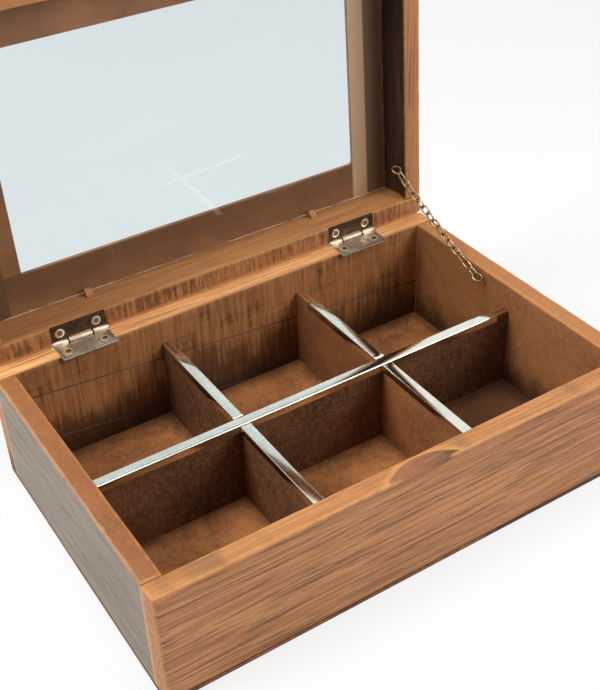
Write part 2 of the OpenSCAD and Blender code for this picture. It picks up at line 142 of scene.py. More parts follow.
class TeaBoxColours(bpy.types.PropertyGroup):
    wood: colour("Wood", "Stained wood of the outside", 166, 110, 70)
    wood_light: colour("Light wood", "Pale streaks of the outside", 200, 142, 92)
    wood_dark: colour("Dark wood", "Dark grain of the outside", 106, 64, 37)
    rim: colour("Rim", "Wood of the rims", 176, 116, 68)
    rubbed: colour("Rubbed rim", "Browner wood of the rubbed rims", 190, 126, 82)
    rim_brown: colour("Brown rim", "Brown wood of the left rim", 150, 96, 58)
    # Painted light: the pale band beside the window stands for light falling on the panel's border.
    blush: colour("Pale border", "Pinkish light wood beside the window", 240, 188, 146)
    rim_light: colour("Light rim", "Pale streaks of the rims", 198, 140, 88)
    end_grain: colour("End grain", "Reddish end grain in the thumb scoop", 140, 90, 64)
    worn: colour("Worn edge", "Bare wood where the edges are rubbed", 206, 146, 88)
    # Painted reflection: the grey of the left wall's outside, with its streaks and grain, stands for
    # glare on the wood.
    grey: colour("Weathered side", "Grey wood of the weathered side", 124, 110, 97)
    grey_light: colour("Weathered streak", "Pale streaks of the weathered side", 150, 138, 124)
    grey_dark: colour("Weathered grain", "Brown grain of the weathered side", 98, 78, 60)
    # Painted light: the rim under the lid is given lighter colours than its wood, as if more brightly
    # lit.
    rim_lit: colour("Back rim", "Golden wood of the rim under the lid", 230, 160, 98)
    rim_pale: colour("Back rim light", "Pale streaks of the rim under the lid", 240, 186, 128)
    # Painted shade: the side rails' shadows on the panel's border, and the shade behind the window.
    border_shade: colour("Border shade", "Dark brown stain round the window", 128, 84, 56)
    inside: colour("Inside", "Sawn wood inside the box", 158, 104, 62)
    inside_light: colour("Inside light", "Pale saw marks inside the box", 190, 134, 86)
    inside_dark: colour("Inside dark", "Dark stain inside the box", 96, 58, 33)
    # Also painted shade, in the saw marks low on the back's inside.
    scorch: colour("Scorched", "Dark saw marks inside the back", 62, 38, 22)
    # Also painted shade: in the floor's corners, low on the walls, in the lid rails' inside and between
    # the knuckles.
    charred: colour("Charred", "Darkest blotches of the stain", 44, 27, 17)
    floor_board: colour("Floor board", "Fibre board of the floor", 190, 122, 70)
    floor_dark: colour("Floor shade", "Dark fibres of the floor", 96, 56, 31)
    divider: colour("Divider", "Fibre board of the dividers", 92, 58, 36)
    divider_light: colour("Divider fibres", "Pale fibres of the dividers", 140, 90, 52)
    # Painted light: a lighter copy of the divider's fibre board, for the divider that stands in the
    # light.
    divider_warm: colour("Lit divider", "Fibre board of the lighter divider", 146, 92, 52)
    divider_dark: colour("Divider shade", "Dark stain of the dividers", 44, 27, 17)
    base_edge: colour("Base edge", "Dark edge of the base board", 52, 31, 19)
    scuff: colour("Scuffs", "Faint dark scuffs on the front", 104, 84, 62)
    chrome: colour("Edge strips", "Polished metal of the edge strips", 234, 234, 222)
    bronze: colour("Hinges", "Worn bronze of the hinges", 200, 180, 158)
    # Also painted shade: the lid leaves' dark colour, the lines inside leaf edges and the middles of
    # screw heads.
    bronze_dark: colour("Tarnish", "Dark tarnish of the hinges and chain", 84, 62, 46)
    chain: colour("Chain", "Antique bronze of the chain", 172, 142, 104)
    steel: colour("Screws", "Dull plating of the screws", 226, 212, 190)
    brass: colour("Brass screw", "Bright brass of the odd screw", 232, 206, 122)
    glass: colour("Glass", "Tint of the glass", 222, 231, 234)
    # Painted highlight: the glow along the glass's cut edge.
    glass_edge: colour("Glass edge", "Light in the cut edge of the glass", 236, 214, 196)


class TeaBoxStage(bpy.types.PropertyGroup):
    floor_size: FloatProperty(name="Floor", description="Side of the floor", default=6.0, unit="LENGTH")
    lens: FloatProperty(name="Lens", description="Focal length in millimetres", default=60.19, min=1.0)
    key: power("Key light", "Power of the light from the upper left", 13.0)
    top: power("Top light", "Power of the light overhead", 4.0)
    fill: power("Fill light", "Power of the light in front", 8.5)
    sky: FloatProperty(
        name="Surroundings", description="Strength of the light from all round", default=0.12, min=0.0)


def hue(name):
    """A colour of the panel, as plain numbers."""
    return tuple(getattr(bpy.context.scene.tea_box_colours, name))


# ---- Modelling, as by hand ----

def make_active(obj):
    """Selects this object alone and makes it the active one."""
    bpy.ops.object.select_all(action="DESELECT")
    obj.select_set(True)
    bpy.context.view_layer.objects.active = obj


def settle(obj, name, turn=None):
    """Names an object and applies its place, turned by a matrix if one is given."""
    obj.name = name
    obj.data.name = name
    if turn is not None:
        bpy.context.view_layer.update()
        obj.matrix_world = turn @ obj.matrix_world
    make_active(obj)
    bpy.ops.object.transform_apply(location=True, rotation=True, scale=True)
    return obj


def primitive(name, operator, **settings):
    """Adds a primitive mesh and applies its place."""
    bpy.ops.object.select_all(action="DESELECT")
    operator(**settings)
    return settle(bpy.context.object, name)


def add_block(name, low, high):
    """A block between two corners."""
    low, high = Vector(low), Vector(high)
    middle = (low + high) / 2
    return primitive(name, bpy.ops.mesh.primitive_cube_add, size=1, location=middle, scale=high - low)


def add_rod(name, radius, start, end, sides=32):
    """A round rod from one point to another."""
    start, end = Vector(start), Vector(end)
    run = end - start
    return primitive(
        name, bpy.ops.mesh.primitive_cylinder_add, vertices=sides, radius=radius, depth=run.length,
        location=(start + end) / 2, rotation=run.to_track_quat("Z", "Y").to_euler())


def pin_rod(name, radius, start, end, sides=32):
    """A round rod about the hinges' axis, from one X to another."""
    return add_rod(name, radius, (start, HINGE.y, HINGE.z), (end, HINGE.y, HINGE.z), sides)


def face_turns(mesh):
    """For each edge, the angle between its two faces."""
    beside = [[] for _ in mesh.edges]
    for face in mesh.polygons:
        for corner in range(face.loop_start, face.loop_start + face.loop_total):
            beside[mesh.loops[corner].edge_index].append(face.normal)
    return [pair[0].angle(pair[1], 0.0) if len(pair) == 2 else math.pi for pair in beside]


def work(obj, kind, test, operator, **settings):
    """Selects the vertices, edges or faces that pass the test, and runs one edit mode operator on them.
    The test gets a vertex's place, an edge's two ends and its turn, or a face's centre and normal."""
    mesh = obj.data
    make_active(obj)
    for group in (mesh.vertices, mesh.edges, mesh.polygons):
        group.foreach_set("select", [False] * len(group))
    if kind == "EDGE":
        places = [vertex.co for vertex in mesh.vertices]
        turns = face_turns(mesh)
        chosen = [e for e in mesh.edges if test(*(places[v] for v in e.vertices), turns[e.index])]
    elif kind == "VERT":
        chosen = [vertex for vertex in mesh.vertices if test(vertex.co)]
    else:
        chosen = [face for face in mesh.polygons if test(face.center, face.normal)]
    if not chosen:
        raise RuntimeError(f"nothing was selected on {obj.name}")
    for item in chosen:
        item.select = True
    bpy.context.tool_settings.mesh_select_mode = (kind == "VERT", kind == "EDGE", kind == "FACE")
    bpy.ops.object.mode_set(mode="EDIT")
    operator(**settings)
    bpy.ops.object.mode_set(mode="OBJECT")


def everywhere(*_):
    return True


def near(a, b):
    return abs(a - b) < 0.02 * MM


def upright(first, second):
    """A test for edges that stand upright."""
    return near(first.x, second.x) and near(first.y, second.y)


def at_level(level):
    """A test for edges at one height."""
    def test(first, second):
        return near(first.z, level) and near(second.z, level)
    return test


def subdivide_along(obj, axis, cuts):
    """Cuts the edges that run along an axis."""
    def along(first, second, _):
        step = second - first
        return step.length > 0 and abs(step[axis]) > 0.999 * step.length
    work(obj, "EDGE", along, bpy.ops.mesh.subdivide, number_cuts=cuts)


def bevel_where(obj, test, width, segments=2):
    """Rounds the sharp edges that pass the test."""
    def sharp(first, second, turn):
        return turn > math.radians(25) and test(first, second)
    work(obj, "EDGE", sharp, bpy.ops.mesh.bevel,
         offset=width, segments=segments, affect="EDGES", clamp_overlap=True)


def bisect(obj, place, normal):
    work(obj, "FACE", everywhere, bpy.ops.mesh.bisect, plane_co=place, plane_no=normal, use_fill=False)


def move_where(obj, test, step):
    work(obj, "VERT", test, bpy.ops.transform.translate, value=step)


def outward(obj):
    """Points the faces of a mirrored mesh outwards again."""
    work(obj, "FACE", everywhere, bpy.ops.mesh.normals_make_consistent, inside=False)


def apply_modifier(obj, kind, **settings):
    """Adds one modifier with these settings and applies it."""
    make_active(obj)
    modifier = obj.modifiers.new(kind.title(), kind)
    for key, value in settings.items():
        setattr(modifier, key, value)
    bpy.ops.object.modifier_apply(modifier=modifier.name)


def cut(obj, other, operation="DIFFERENCE"):
    """Cuts another object out of this one, or unites the two, and removes the other."""
    apply_modifier(obj, "BOOLEAN", operation=operation, object=other, solver="EXACT")
    bpy.data.objects.remove(other)
    if not obj.data.polygons:
        raise RuntimeError(f"{obj.name} vanished when it was cut")


def cut_block(obj, low, high):
    """Cuts a block between two corners out of an object."""
    cut(obj, add_block("cutter", low, high))


def wear_down(obj, test, depth, size):
    """Sinks the vertices that pass the test by an uneven depth, so that an edge looks rubbed."""
    group = obj.vertex_groups.new(name="worn")
    group.add([v.index for v in obj.data.vertices if test(v.co)], 1.0, "REPLACE")
    clouds = bpy.data.textures.new(obj.name + "_wear", "CLOUDS")
    clouds.noise_scale = size
    apply_modifier(
        obj, "DISPLACE", texture=clouds, texture_coords="LOCAL", vertex_group="worn",
        strength=depth, mid_level=1.0)
    obj.vertex_groups.clear()
    bpy.data.textures.remove(clouds)


def copy_piece(source, name, turn):
    """A copy with its own mesh, moved by a matrix that is applied to it."""
    obj = source.copy()
    obj.data = source.data.copy()
    bpy.context.scene.collection.objects.link(obj)
    return settle(obj, name, turn)


def place_piece(obj, body, material, node, smooth=32):
    """Shades a finished piece, and sets it on its body and in place of a CAD node."""
    make_active(obj)
    bpy.ops.object.shade_smooth_by_angle(angle=math.radians(smooth))
    obj.data.materials.clear()
    obj.data.materials.append(material)
    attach(obj, body)
    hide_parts(node)


# ---- Material building ----

GROUPS = {}
# Kinds of the groups' inputs that are not plain numbers
SOCKETS = {
    "Vector": "Vector", "Low": "Vector", "High": "Vector",
    "Dark": "Color", "Body": "Color", "Light": "Color",
}


class Graph:
    """Adds nodes to a node tree. A socket or a plain value may stand for any input."""

    def __init__(self, tree):
        self.tree = tree

    def feed(self, socket, value):
        if isinstance(value, bpy.types.NodeSocket):
            self.tree.links.new(value, socket)
        elif socket.type == "RGBA" and len(value) == 3:
            socket.default_value = (*value, 1.0)
        else:
            socket.default_value = value

    def add(self, kind, inputs=None, **settings):
        node = self.tree.nodes.new("ShaderNode" + kind)
        for key, value in settings.items():
            setattr(node, key, value)
        for key, value in (inputs or {}).items():
            self.feed(node.inputs[key], value)
        return node

    def math(self, operation, first, second=0.0, third=0.0):
        return self.add("Math", {0: first, 1: second, 2: third}, operation=operation).outputs[0]

    def minus(self, first, second):
        return self.math("SUBTRACT", first, second)

    def times(self, first, *others):
        for value in others:
            first = self.math("MULTIPLY", first, value)
        return first

    def scaled_sum(self, first, factor, second):
        """first times factor, plus second."""
        return self.math("MULTIPLY_ADD", first, factor, second)

    def away(self, value, place):
        """Distance of a value from a place on its axis."""
        return self.math("ABSOLUTE", self.minus(value, place))

    def vector(self, operation, first, second, output=0):
        return self.add("VectorMath", {0: first, 1: second}, operation=operation).outputs[output]

    def distance(self, first, second):
        return self.vector("DISTANCE", first, second, "Value")

    def split(self, vector):
        return self.add("SeparateXYZ", {0: vector}).outputs

    def joined(self, x, y, z):
        return self.add("CombineXYZ", {0: x, 1: y, 2: z}).outputs[0]

    def noise(self, vector, scale, detail=3.0, roughness=0.55, distortion=0.0):
        """Noise from 0 to 1. Its scale is one number, or one for each axis."""
        if isinstance(scale, tuple):
            vector, scale = self.vector("MULTIPLY", vector, scale), 1.0
        return self.add("TexNoise", {
            "Vector": vector, "Scale": scale, "Detail": detail,
            "Roughness": roughness, "Distortion": distortion,
        }).outputs["Fac"]

    def step(self, value, low, high):
        """0 below low, 1 above high, and smooth between them."""
        limits = {0: value, 1: low, 2: high, 3: 0.0, 4: 1.0}
        return self.add("MapRange", limits, interpolation_type="SMOOTHSTEP").outputs[0]

    def fade(self, value, low, high):
        """1 below low, 0 above high, and smooth between them."""
        return self.minus(1.0, self.step(value, low, high))

    def blend(self, first, second, *shares):
        """Goes from the first colour to the second by the product of the shares."""
        share = self.times(*shares)
        node = self.add("Mix", data_type="RGBA")
        for index, value in ((0, share), (6, first), (7, second)):
            self.feed(node.inputs[index], value)
        return node.outputs[2]

    def stain(self, result, name, *shares):
        """Blends a colour of the panel into a result."""
        return self.blend(result, hue(name), *shares)

    def group(self, fill, **inputs):
        """Outputs of the node group that a function fills. It is built when it is first wanted."""
        if fill not in GROUPS:
            GROUPS[fill] = new_group(fill, inputs)
        node = self.add("Group", node_tree=GROUPS[fill])
        for key, value in inputs.items():
            self.feed(node.inputs[key], value)
        return node.outputs

    def surface(self, shader):
        self.add("OutputMaterial", {"Surface": shader.outputs[0]})


def new_group(fill, inputs):
    """A shader node group with these inputs. fill adds its nodes and returns its outputs by name."""
    tree = bpy.data.node_groups.new(fill.__name__.replace("_", " ").title(), "ShaderNodeTree")
    for name in inputs:
        kind = "NodeSocket" + SOCKETS.get(name, "Float")
        tree.interface.new_socket(name=name, in_out="INPUT", socket_type=kind)
    graph = Graph(tree)
    results = fill(graph, tree.nodes.new("NodeGroupInput").outputs)
    for name in results:
        kind = "NodeSocketColor" if name == "Color" else "NodeSocketFloat"
        tree.interface.new_socket(name=name, in_out="OUTPUT", socket_type=kind)
    target = tree.nodes.new("NodeGroupOutput")
    for name, result in results.items():
        graph.feed(target.inputs[name], result)
    return tree


def inside_box(g, s):
    """Distances of a place from the lower and the upper faces of a box, each as X, Y and Z."""
    above = g.vector("SUBTRACT", s["Vector"], s["Low"])
    below = g.vector("SUBTRACT", s["High"], s["Vector"])
    return g.split(above), g.split(below)


def edge_wear(g, s):
    """Mask that is 1 along the edges of a board's box and fades raggedly over a width."""
    low, high = inside_box(g, s)
    x, y, z = (g.math("MINIMUM", low[i], high[i]) for i in range(3))
    middle = g.math("MAXIMUM", g.math("MINIMUM", x, y), g.math("MINIMUM", g.math("MAXIMUM", x, y), z))
    ragged = g.minus(g.noise(s["Vector"], s["Scale"], 4.0, 0.65), 0.5)
    reach = g.scaled_sum(ragged, g.times(s["Raggedness"], s["Width"]), middle)
    return {"Mask": g.fade(g.math("DIVIDE", reach, s["Width"]), 0.15, 1.0)}


def face_masks(g, s):
    """Masks that are 1 on each face of a board's box."""
    low, high = inside_box(g, s)
    faces = zip(("Left", "Front", "Under", "Right", "Back", "Top"), (*low, *high))
    return {face: g.fade(g.math("DIVIDE", away, s["Depth"]), 0.2, 1.0) for face, away in faces}


def shifted(g, s):
    """The group's vector moved by its seed, so that no two boards show the same pattern."""
    return g.vector("ADD", s["Vector"], g.joined(s["Seed"], s["Seed"], s["Seed"]))


def stained_wood(g, s):
    """Smooth stained wood, its grain along X: broad bands, long dark lines and pale flecks."""
    place = shifted(g, s)
    wide = g.vector("MULTIPLY", place, (9.0, 30.0, 30.0))
    wander = g.add("TexNoise", {"Vector": wide, "Scale": 1.0, "Detail": 2.0})
    sway = g.vector("SUBTRACT", wander.outputs["Color"], (0.5, 0.5, 0.5))
    bent = g.vector("ADD", place, g.vector("MULTIPLY", sway, (0.0, 0.007, 0.007)))
    bands = g.step(g.noise(bent, (6.0, 110.0, 110.0), 3.0, 0.6), 0.35, 0.65)
    streaks = g.noise(bent, (20.0, 720.0, 720.0), 4.0, 0.62)
    lines = g.step(g.noise(bent, (15.0, 900.0, 900.0), 2.0, 0.5), 0.53, 0.64)
    flecks = g.step(g.noise(bent, (70.0, 1300.0, 1300.0), 2.0, 0.5), 0.54, 0.68)
    result = g.blend(s["Body"], s["Dark"], bands, s["Amount"], 0.35)
    result = g.blend(result, s["Light"], g.step(streaks, 0.42, 0.62), s["Amount"])
    result = g.blend(result, s["Dark"], lines, s["Amount"])
    result = g.blend(result, s["Light"], flecks, s["Amount"], 0.6)
    return {"Color": result, "Height": g.minus(streaks, g.times(lines, 0.5))}


def sawn_wood(g, s):
    """Rough sawn wood that runs along X: upright saw marks, and scorched patches with ragged edges."""
    place = shifted(g, s)
    comb = g.noise(place, (640.0, 60.0, 42.0), 4.0, 0.68)
    fine = g.noise(place, (1300.0, 90.0, 80.0), 2.0, 0.6)
    patch = g.noise(place, (20.0, 20.0, 40.0), 5.0, 0.68, 0.4)
    along = g.noise(place, (12.0, 500.0, 500.0), 3.0, 0.6)
    result = g.blend(s["Body"], s["Light"], g.step(comb, 0.44, 0.62), 0.65)
    result = g.blend(result, s["Dark"], g.step(fine, 0.5, 0.68), 0.15)
    result = g.blend(result, s["Dark"], g.step(along, 0.52, 0.7), 0.2)
    scorch = g.scaled_sum(g.minus(comb, 0.5), -0.85, g.math("ADD", patch, s["Amount"]))
    result = g.blend(result, s["Dark"], g.step(scorch, 0.5, 0.7), 0.8)
    return {"Color": result, "Height": g.scaled_sum(comb, 0.6, g.times(fine, 0.4))}


def fibre_board(g, s):
    """Mottled fibre board or rubbed wood: soft cloudy patches, short fibres and specks."""
    place = shifted(g, s)
    clouds = g.step(g.noise(place, 38.0, 5.0, 0.62, 0.4), 0.34, 0.66)
    fibres = g.noise(place, (560.0, 560.0, 336.0), 5.0, 0.75, 1.2)
    specks = g.step(g.noise(place, 950.0, 3.0, 0.6), 0.56, 0.7)
    result = g.blend(s["Body"], s["Dark"], clouds, s["Amount"], 0.7)
    result = g.blend(result, s["Light"], g.step(fibres, 0.42, 0.68), s["Amount"], 0.7)
    result = g.blend(result, s["Dark"], specks, s["Amount"], 0.6)
    return {"Color": result, "Height": fibres}


def grime(g, s):
    """Mask of stain and painted shade, fading raggedly from 1 at the start to 0 at the end of a
    distance.
    """
    ragged = g.minus(g.noise(s["Vector"], 90.0, 5.0, 0.65), 0.5)
    share = g.math("DIVIDE", g.minus(s["Distance"], s["Start"]), g.minus(s["End"], s["Start"]))
    return {"Mask": g.fade(g.scaled_sum(ragged, 1.1, share), 0.0, 1.0)}


def tarnish(g, s):
    """Uneven tarnish on metal, with fine scratches."""
    stain = g.noise(s["Vector"], s["Scale"], 5.0, 0.65, 0.5)
    drawn = g.vector("MULTIPLY", s["Vector"], (0.25, 3.0, 3.0))
    scratches = g.noise(drawn, g.times(s["Scale"], 4.0), 3.0, 0.6)
    return {"Stain": g.step(stain, 0.38, 0.66), "Scratches": g.step(scratches, 0.45, 0.7)}


def new_material(name):
    """An empty node material, as (material, graph)."""
    material = bpy.data.materials.new(name)
    material.use_nodes = True
    material.node_tree.nodes.clear()
    return material, Graph(material.node_tree)


def finish_material(g, base, roughness, height, bump, depth, **plain):
    """The Principled shader, bumped by the height, and the output. Plain values go on its sockets."""
    shader = g.add("BsdfPrincipled", {"Base Color": base, "Roughness": roughness})
    for key, value in plain.items():
        shader.inputs[key.replace("_", " ")].default_value = value
    relief = g.add("Bump", {"Height": height, "Strength": bump, "Distance": depth * MM})
    g.feed(shader.inputs["Normal"], relief.outputs[0])
    g.surface(shader)


def place_vector(g, on_lid):
    """Object coordinates, turned back to where a piece of the lid lies when the lid is shut."""
    place = g.add("TexCoord").outputs["Object"]
    if not on_lid:
        return place
    turned = g.add("Mapping", {"Vector": place}, vector_type="POINT")
    turned.inputs["Rotation"].default_value = (LID_OPEN, 0.0, 0.0)
    turned.inputs["Location"].default_value = HINGE - Matrix.Rotation(LID_OPEN, 3, "X") @ HINGE
    return turned.outputs[0]


# How deep a face's own finish reaches
FACE_DEPTH = 1.3 * MM
# The dark, body and light colours of each tone
TONES = {
    "outside": ("wood_dark", "wood", "wood_light"),
    "rim": ("wood", "rim", "rim_light"),
    "rubbed": ("wood_dark", "rubbed", "rim"),
    "brown": ("wood_dark", "rim_brown", "rim"),
    # Painted light: lighter colours for the rim under the lid.
    "painted_lit_rim": ("rim", "rim_lit", "rim_pale"),
    # Painted reflection: grey for the glare on the left wall's outside.
    "grey": ("grey_dark", "grey", "grey_light"),
    "inside": ("inside_dark", "inside", "inside_light"),
    # Stain and painted shade for the inside of the lid's side rails.
    "dark": ("charred", "charred", "inside_dark"),
    "scorched": ("scorch", "inside", "inside_light"),
    "floor": ("floor_dark", "floor_board", "inside_light"),
    "divider": ("divider_dark", "divider", "divider_light"),
    # Painted light: the lit copy of the divider tone.
    "warm": ("divider", "divider_warm", "inside"),
}


def finish(g, place, seed, kind, tones, amount):
    """A wood finish, as (colour, height)."""
    dark, body, light = (hue(name) for name in TONES[tones])
    outputs = g.group(kind, Vector=place, Seed=seed, Dark=dark, Body=body, Light=light, Amount=amount)
    return outputs["Color"], outputs["Height"]


def worn_edges(g, place, low, high, width, raggedness, scale):
    """Mask of the rubbed edges of a box."""
    outputs = g.group(
        edge_wear, Vector=place, Low=low, High=high, Width=width, Raggedness=raggedness, Scale=scale)
    return outputs["Mask"]


def grimy(g, place, distance, start, end):
    """Mask of a ragged dark band, partly stain and partly painted shade."""
    return g.group(grime, Vector=place, Distance=distance, Start=start, End=end)["Mask"]


def board_material(name, box, axis, seed, finishes, on_lid=False, edge=0.75, grime_and_shade_band=None, extra=None):
    """Wood for one board along an axis. finishes gives a (kind, tones, amount) for all faces and for
    those that differ, the grime and shade band the heights where a dark band of stain and painted shade
    starts and ends, and extra may add to the colour. The edges are worn, but not those at the foot
    of a wall."""
    low, high = box
    foot = Vector((0.0, 0.0, 0.0 if on_lid else 1.0))
    material, g = new_material(name)
    place = along = place_vector(g, on_lid)
    if axis == 1:
        x, y, z = g.split(place)
        along = g.joined(y, x, z)
    masks = g.group(face_masks, Vector=place, Low=low, High=high, Depth=FACE_DEPTH)
    result, relief = finish(g, along, seed, *finishes["all"])
    for face, chosen in finishes.items():
        if face != "all":
            other, height = finish(g, along, seed + 0.37, *chosen)
            result = g.blend(result, other, masks[face])
            relief = g.scaled_sum(masks[face], g.minus(height, relief), relief)
    # A ragged dark band low or high on a board: partly stain, partly painted shade.
    if grime_and_shade_band:
        result = g.stain(result, "charred", grimy(g, place, g.split(place)[2], *grime_and_shade_band), 0.85)
    if extra:
        result = extra(g, place, result)
    worn = g.times(worn_edges(g, place, low - foot, high, 1.7 * MM, 1.5, 240.0), edge)
    result = g.stain(result, "worn", worn)
    roughness = g.scaled_sum(relief, 0.2, g.scaled_sum(worn, -0.1, 0.45))
    finish_material(g, result, roughness, relief, 0.5, 0.3, Specular_IOR_Level=0.3)
    return material


def fibre_material(name, box, seed, tones, edge=0.7, edge_tone="inside", extra=None):
    """Stained fibre board, its edges in a tone of their own."""
    material, g = new_material(name)
    place = place_vector(g, False)
    result, height = finish(g, place, seed, fibre_board, tones, 1.0)
    if extra:
        result = extra(g, place, result)
    result = g.stain(result, edge_tone, worn_edges(g, place, *box, 1.6 * MM, 1.2, 300.0), edge)
    finish_material(g, result, g.scaled_sum(height, 0.2, 0.6), height, 0.5, 0.3, Specular_IOR_Level=0.25)
    return material


def metal_material(
        name, bright, dark, stain, roughness, scale, wave=0.0, on_lid=False, extra=None, metallic=1.0):
    """Metal with a stain that dulls it in patches. It may have a gentle wave in place of the stain's
    relief, and extra may add to the colour."""
    material, g = new_material(name)
    place = place_vector(g, on_lid)
    marks = g.group(tarnish, Vector=place, Scale=scale)
    result = g.blend(bright, dark, marks["Stain"], stain)
    result = g.blend(result, dark, marks["Scratches"], 0.12)
    if extra:
        result = extra(g, place, result)
    rough = g.scaled_sum(marks["Stain"], 0.22 * min(1.0, stain + 0.1), roughness)
    if wave:
        finish_material(g, result, rough, g.noise(place, 28.0, 1.0, 0.4), wave, 1.0, Metallic=metallic)
    else:
        height = g.scaled_sum(marks["Scratches"], 0.3, marks["Stain"])
        finish_material(g, result, rough, height, 0.25, 0.15, Metallic=metallic)
    return material


# ---- Box ----

OUTSIDE = (stained_wood, "outside", 0.75)
RIM = (stained_wood, "rim", 0.8)
# Size of the worn hollows along a rim
WEAR_SIZE = 9 * MM
# Joints between the back's boards: height as a share of the wall's, and slope
BACK_JOINTS = ((0.02, 0.116), (0.54, 0.086))


def eased_board(name, low, high, axis, level, corners=(), sharp_y=None):
    """A board along an axis, with eased edges at one level, rounded upright corners and uneven wear.
    The edge at sharp_y, along the hinges, stays sharp."""
    sizes = bpy.context.scene.tea_box_sizes
    board = add_block(name, low, high)
    subdivide_along(board, axis, sizes.rim_cuts)
    if corners:
        def at_corner(first, second):
            here = any(near(first.x, x) and near(first.y, y) for x, y in corners)
            return here and upright(first, second)
        bevel_where(board, at_corner, sizes.corner, 3)

    def eased(first, second):
        hinged = sharp_y and near(first.y, sharp_y) and near(second.y, sharp_y)
        return near(first.z, level) and near(second.z, level) and not hinged
    bevel_where(board, eased, sizes.ease, 3)
    inward = 1 if level < (low[2] + high[2]) / 2 else -1
    bisect(board, (0.0, 0.0, level + inward * 3 * sizes.ease), (0.0, 0.0, 1.0))

    def at_rim(place):
        return abs(place.z - level) < 2 * sizes.ease and not (sharp_y and abs(place.y - sharp_y) < MM)
    wear_down(board, at_rim, sizes.wear, WEAR_SIZE)
    return board


def cut_mortises(board, front, back, rim, up):
    """Cuts the beds of the hinge leaves and knuckles into a rim. up is 1 for the box, -1 for the lid."""
    leaf = bpy.context.scene.tea_box_sizes.leaf
    bottom, top = sorted((rim - up * leaf, rim + up * MM))
    for side in ("left", "right"):
        start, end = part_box(f"hinge_{side}_box_leaf")
        cut_block(board, (start.x - 0.1 * MM, front - MM, bottom), (end.x + 0.1 * MM, back + MM, top))
        cut(board, pin_rod("cutter", KNUCKLE_BED, start.x - 0.8 * MM, end.x + 0.8 * MM))


def scoop_sphere():
    """Centre and radius of the ball that cuts the thumb scoop."""
    sizes = bpy.context.scene.tea_box_sizes
    low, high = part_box("front_wall")
    half = sizes.scoop_width / 2
    out = (half ** 2 - sizes.scoop_reach ** 2) / (2 * sizes.scoop_reach)
    up = (half ** 2 - sizes.scoop_drop ** 2) / (2 * sizes.scoop_drop)
    return Vector((0.0, low.y - out, high.z + up)), math.sqrt(half ** 2 + out ** 2 + up ** 2)


def front_marks(g, place, result):
    """A pale lip round the thumb scoop, dark end grain in it, and faint scuffs along the grain."""
    centre, radius = scoop_sphere()
    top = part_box("front_wall")[1].z
    x, _, z = g.split(place)
    depth = g.minus(g.distance(place, centre), radius)
    lip = g.fade(depth, 0.5 * MM, 1.6 * MM)
    result = g.stain(result, "worn", lip, g.step(z, top - 1.4 * MM, top - 0.5 * MM), 0.8)
    grain = g.noise(place, (160.0, 700.0, 700.0), 4.0, 0.6)
    darker_right = g.step(g.scaled_sum(x, 26.0, grain), 0.35, 1.05)
    end_grain = g.blend(hue("end_grain"), hue("charred"), darker_right)
    result = g.blend(result, end_grain, g.fade(depth, 0.1 * MM, 0.45 * MM), 0.85)
    smear = g.step(g.noise(place, (46.0, 1.0, 300.0), 3.0, 0.6), 0.52, 0.68)
    where = g.step(g.noise(place, (14.0, 1.0, 60.0), 2.0, 0.5), 0.5, 0.62)
    return g.stain(result, "scuff", smear, where, 0.5)


def back_marks(low, joints):
    """Dark joints between the back's boards, given as (height, normal), and saw marks low on it, which
    are also painted shade that darkens it towards the floor.
    """
    def marks(g, place, result):
        _, y, z = g.split(place)
        front = g.fade(y, low.y + 0.6 * MM, low.y + 0.8 * MM)
        for level, normal in joints:
            above = g.vector("SUBTRACT", place, (0.0, 0.0, level))
            away = g.math("ABSOLUTE", g.vector("DOT_PRODUCT", above, normal, "Value"))
            result = g.stain(result, "scorch", g.fade(away, 0.25 * MM, 0.6 * MM), front, 0.8)
        # Painted shade: saw marks that darken the inside towards the floor.
        comb = g.noise(place, (620.0, 1.0, 30.0), 4.0, 0.65)
        shade = g.scaled_sum(g.fade(z, low.z + 8 * MM, low.z + 40 * MM), 0.4, comb)
        shade = g.step(g.math("ADD", shade, g.noise(place, 26.0, 3.0, 0.6)), 1.1, 1.4)
        return g.stain(result, "scorch", shade, front, 0.7)
    return marks


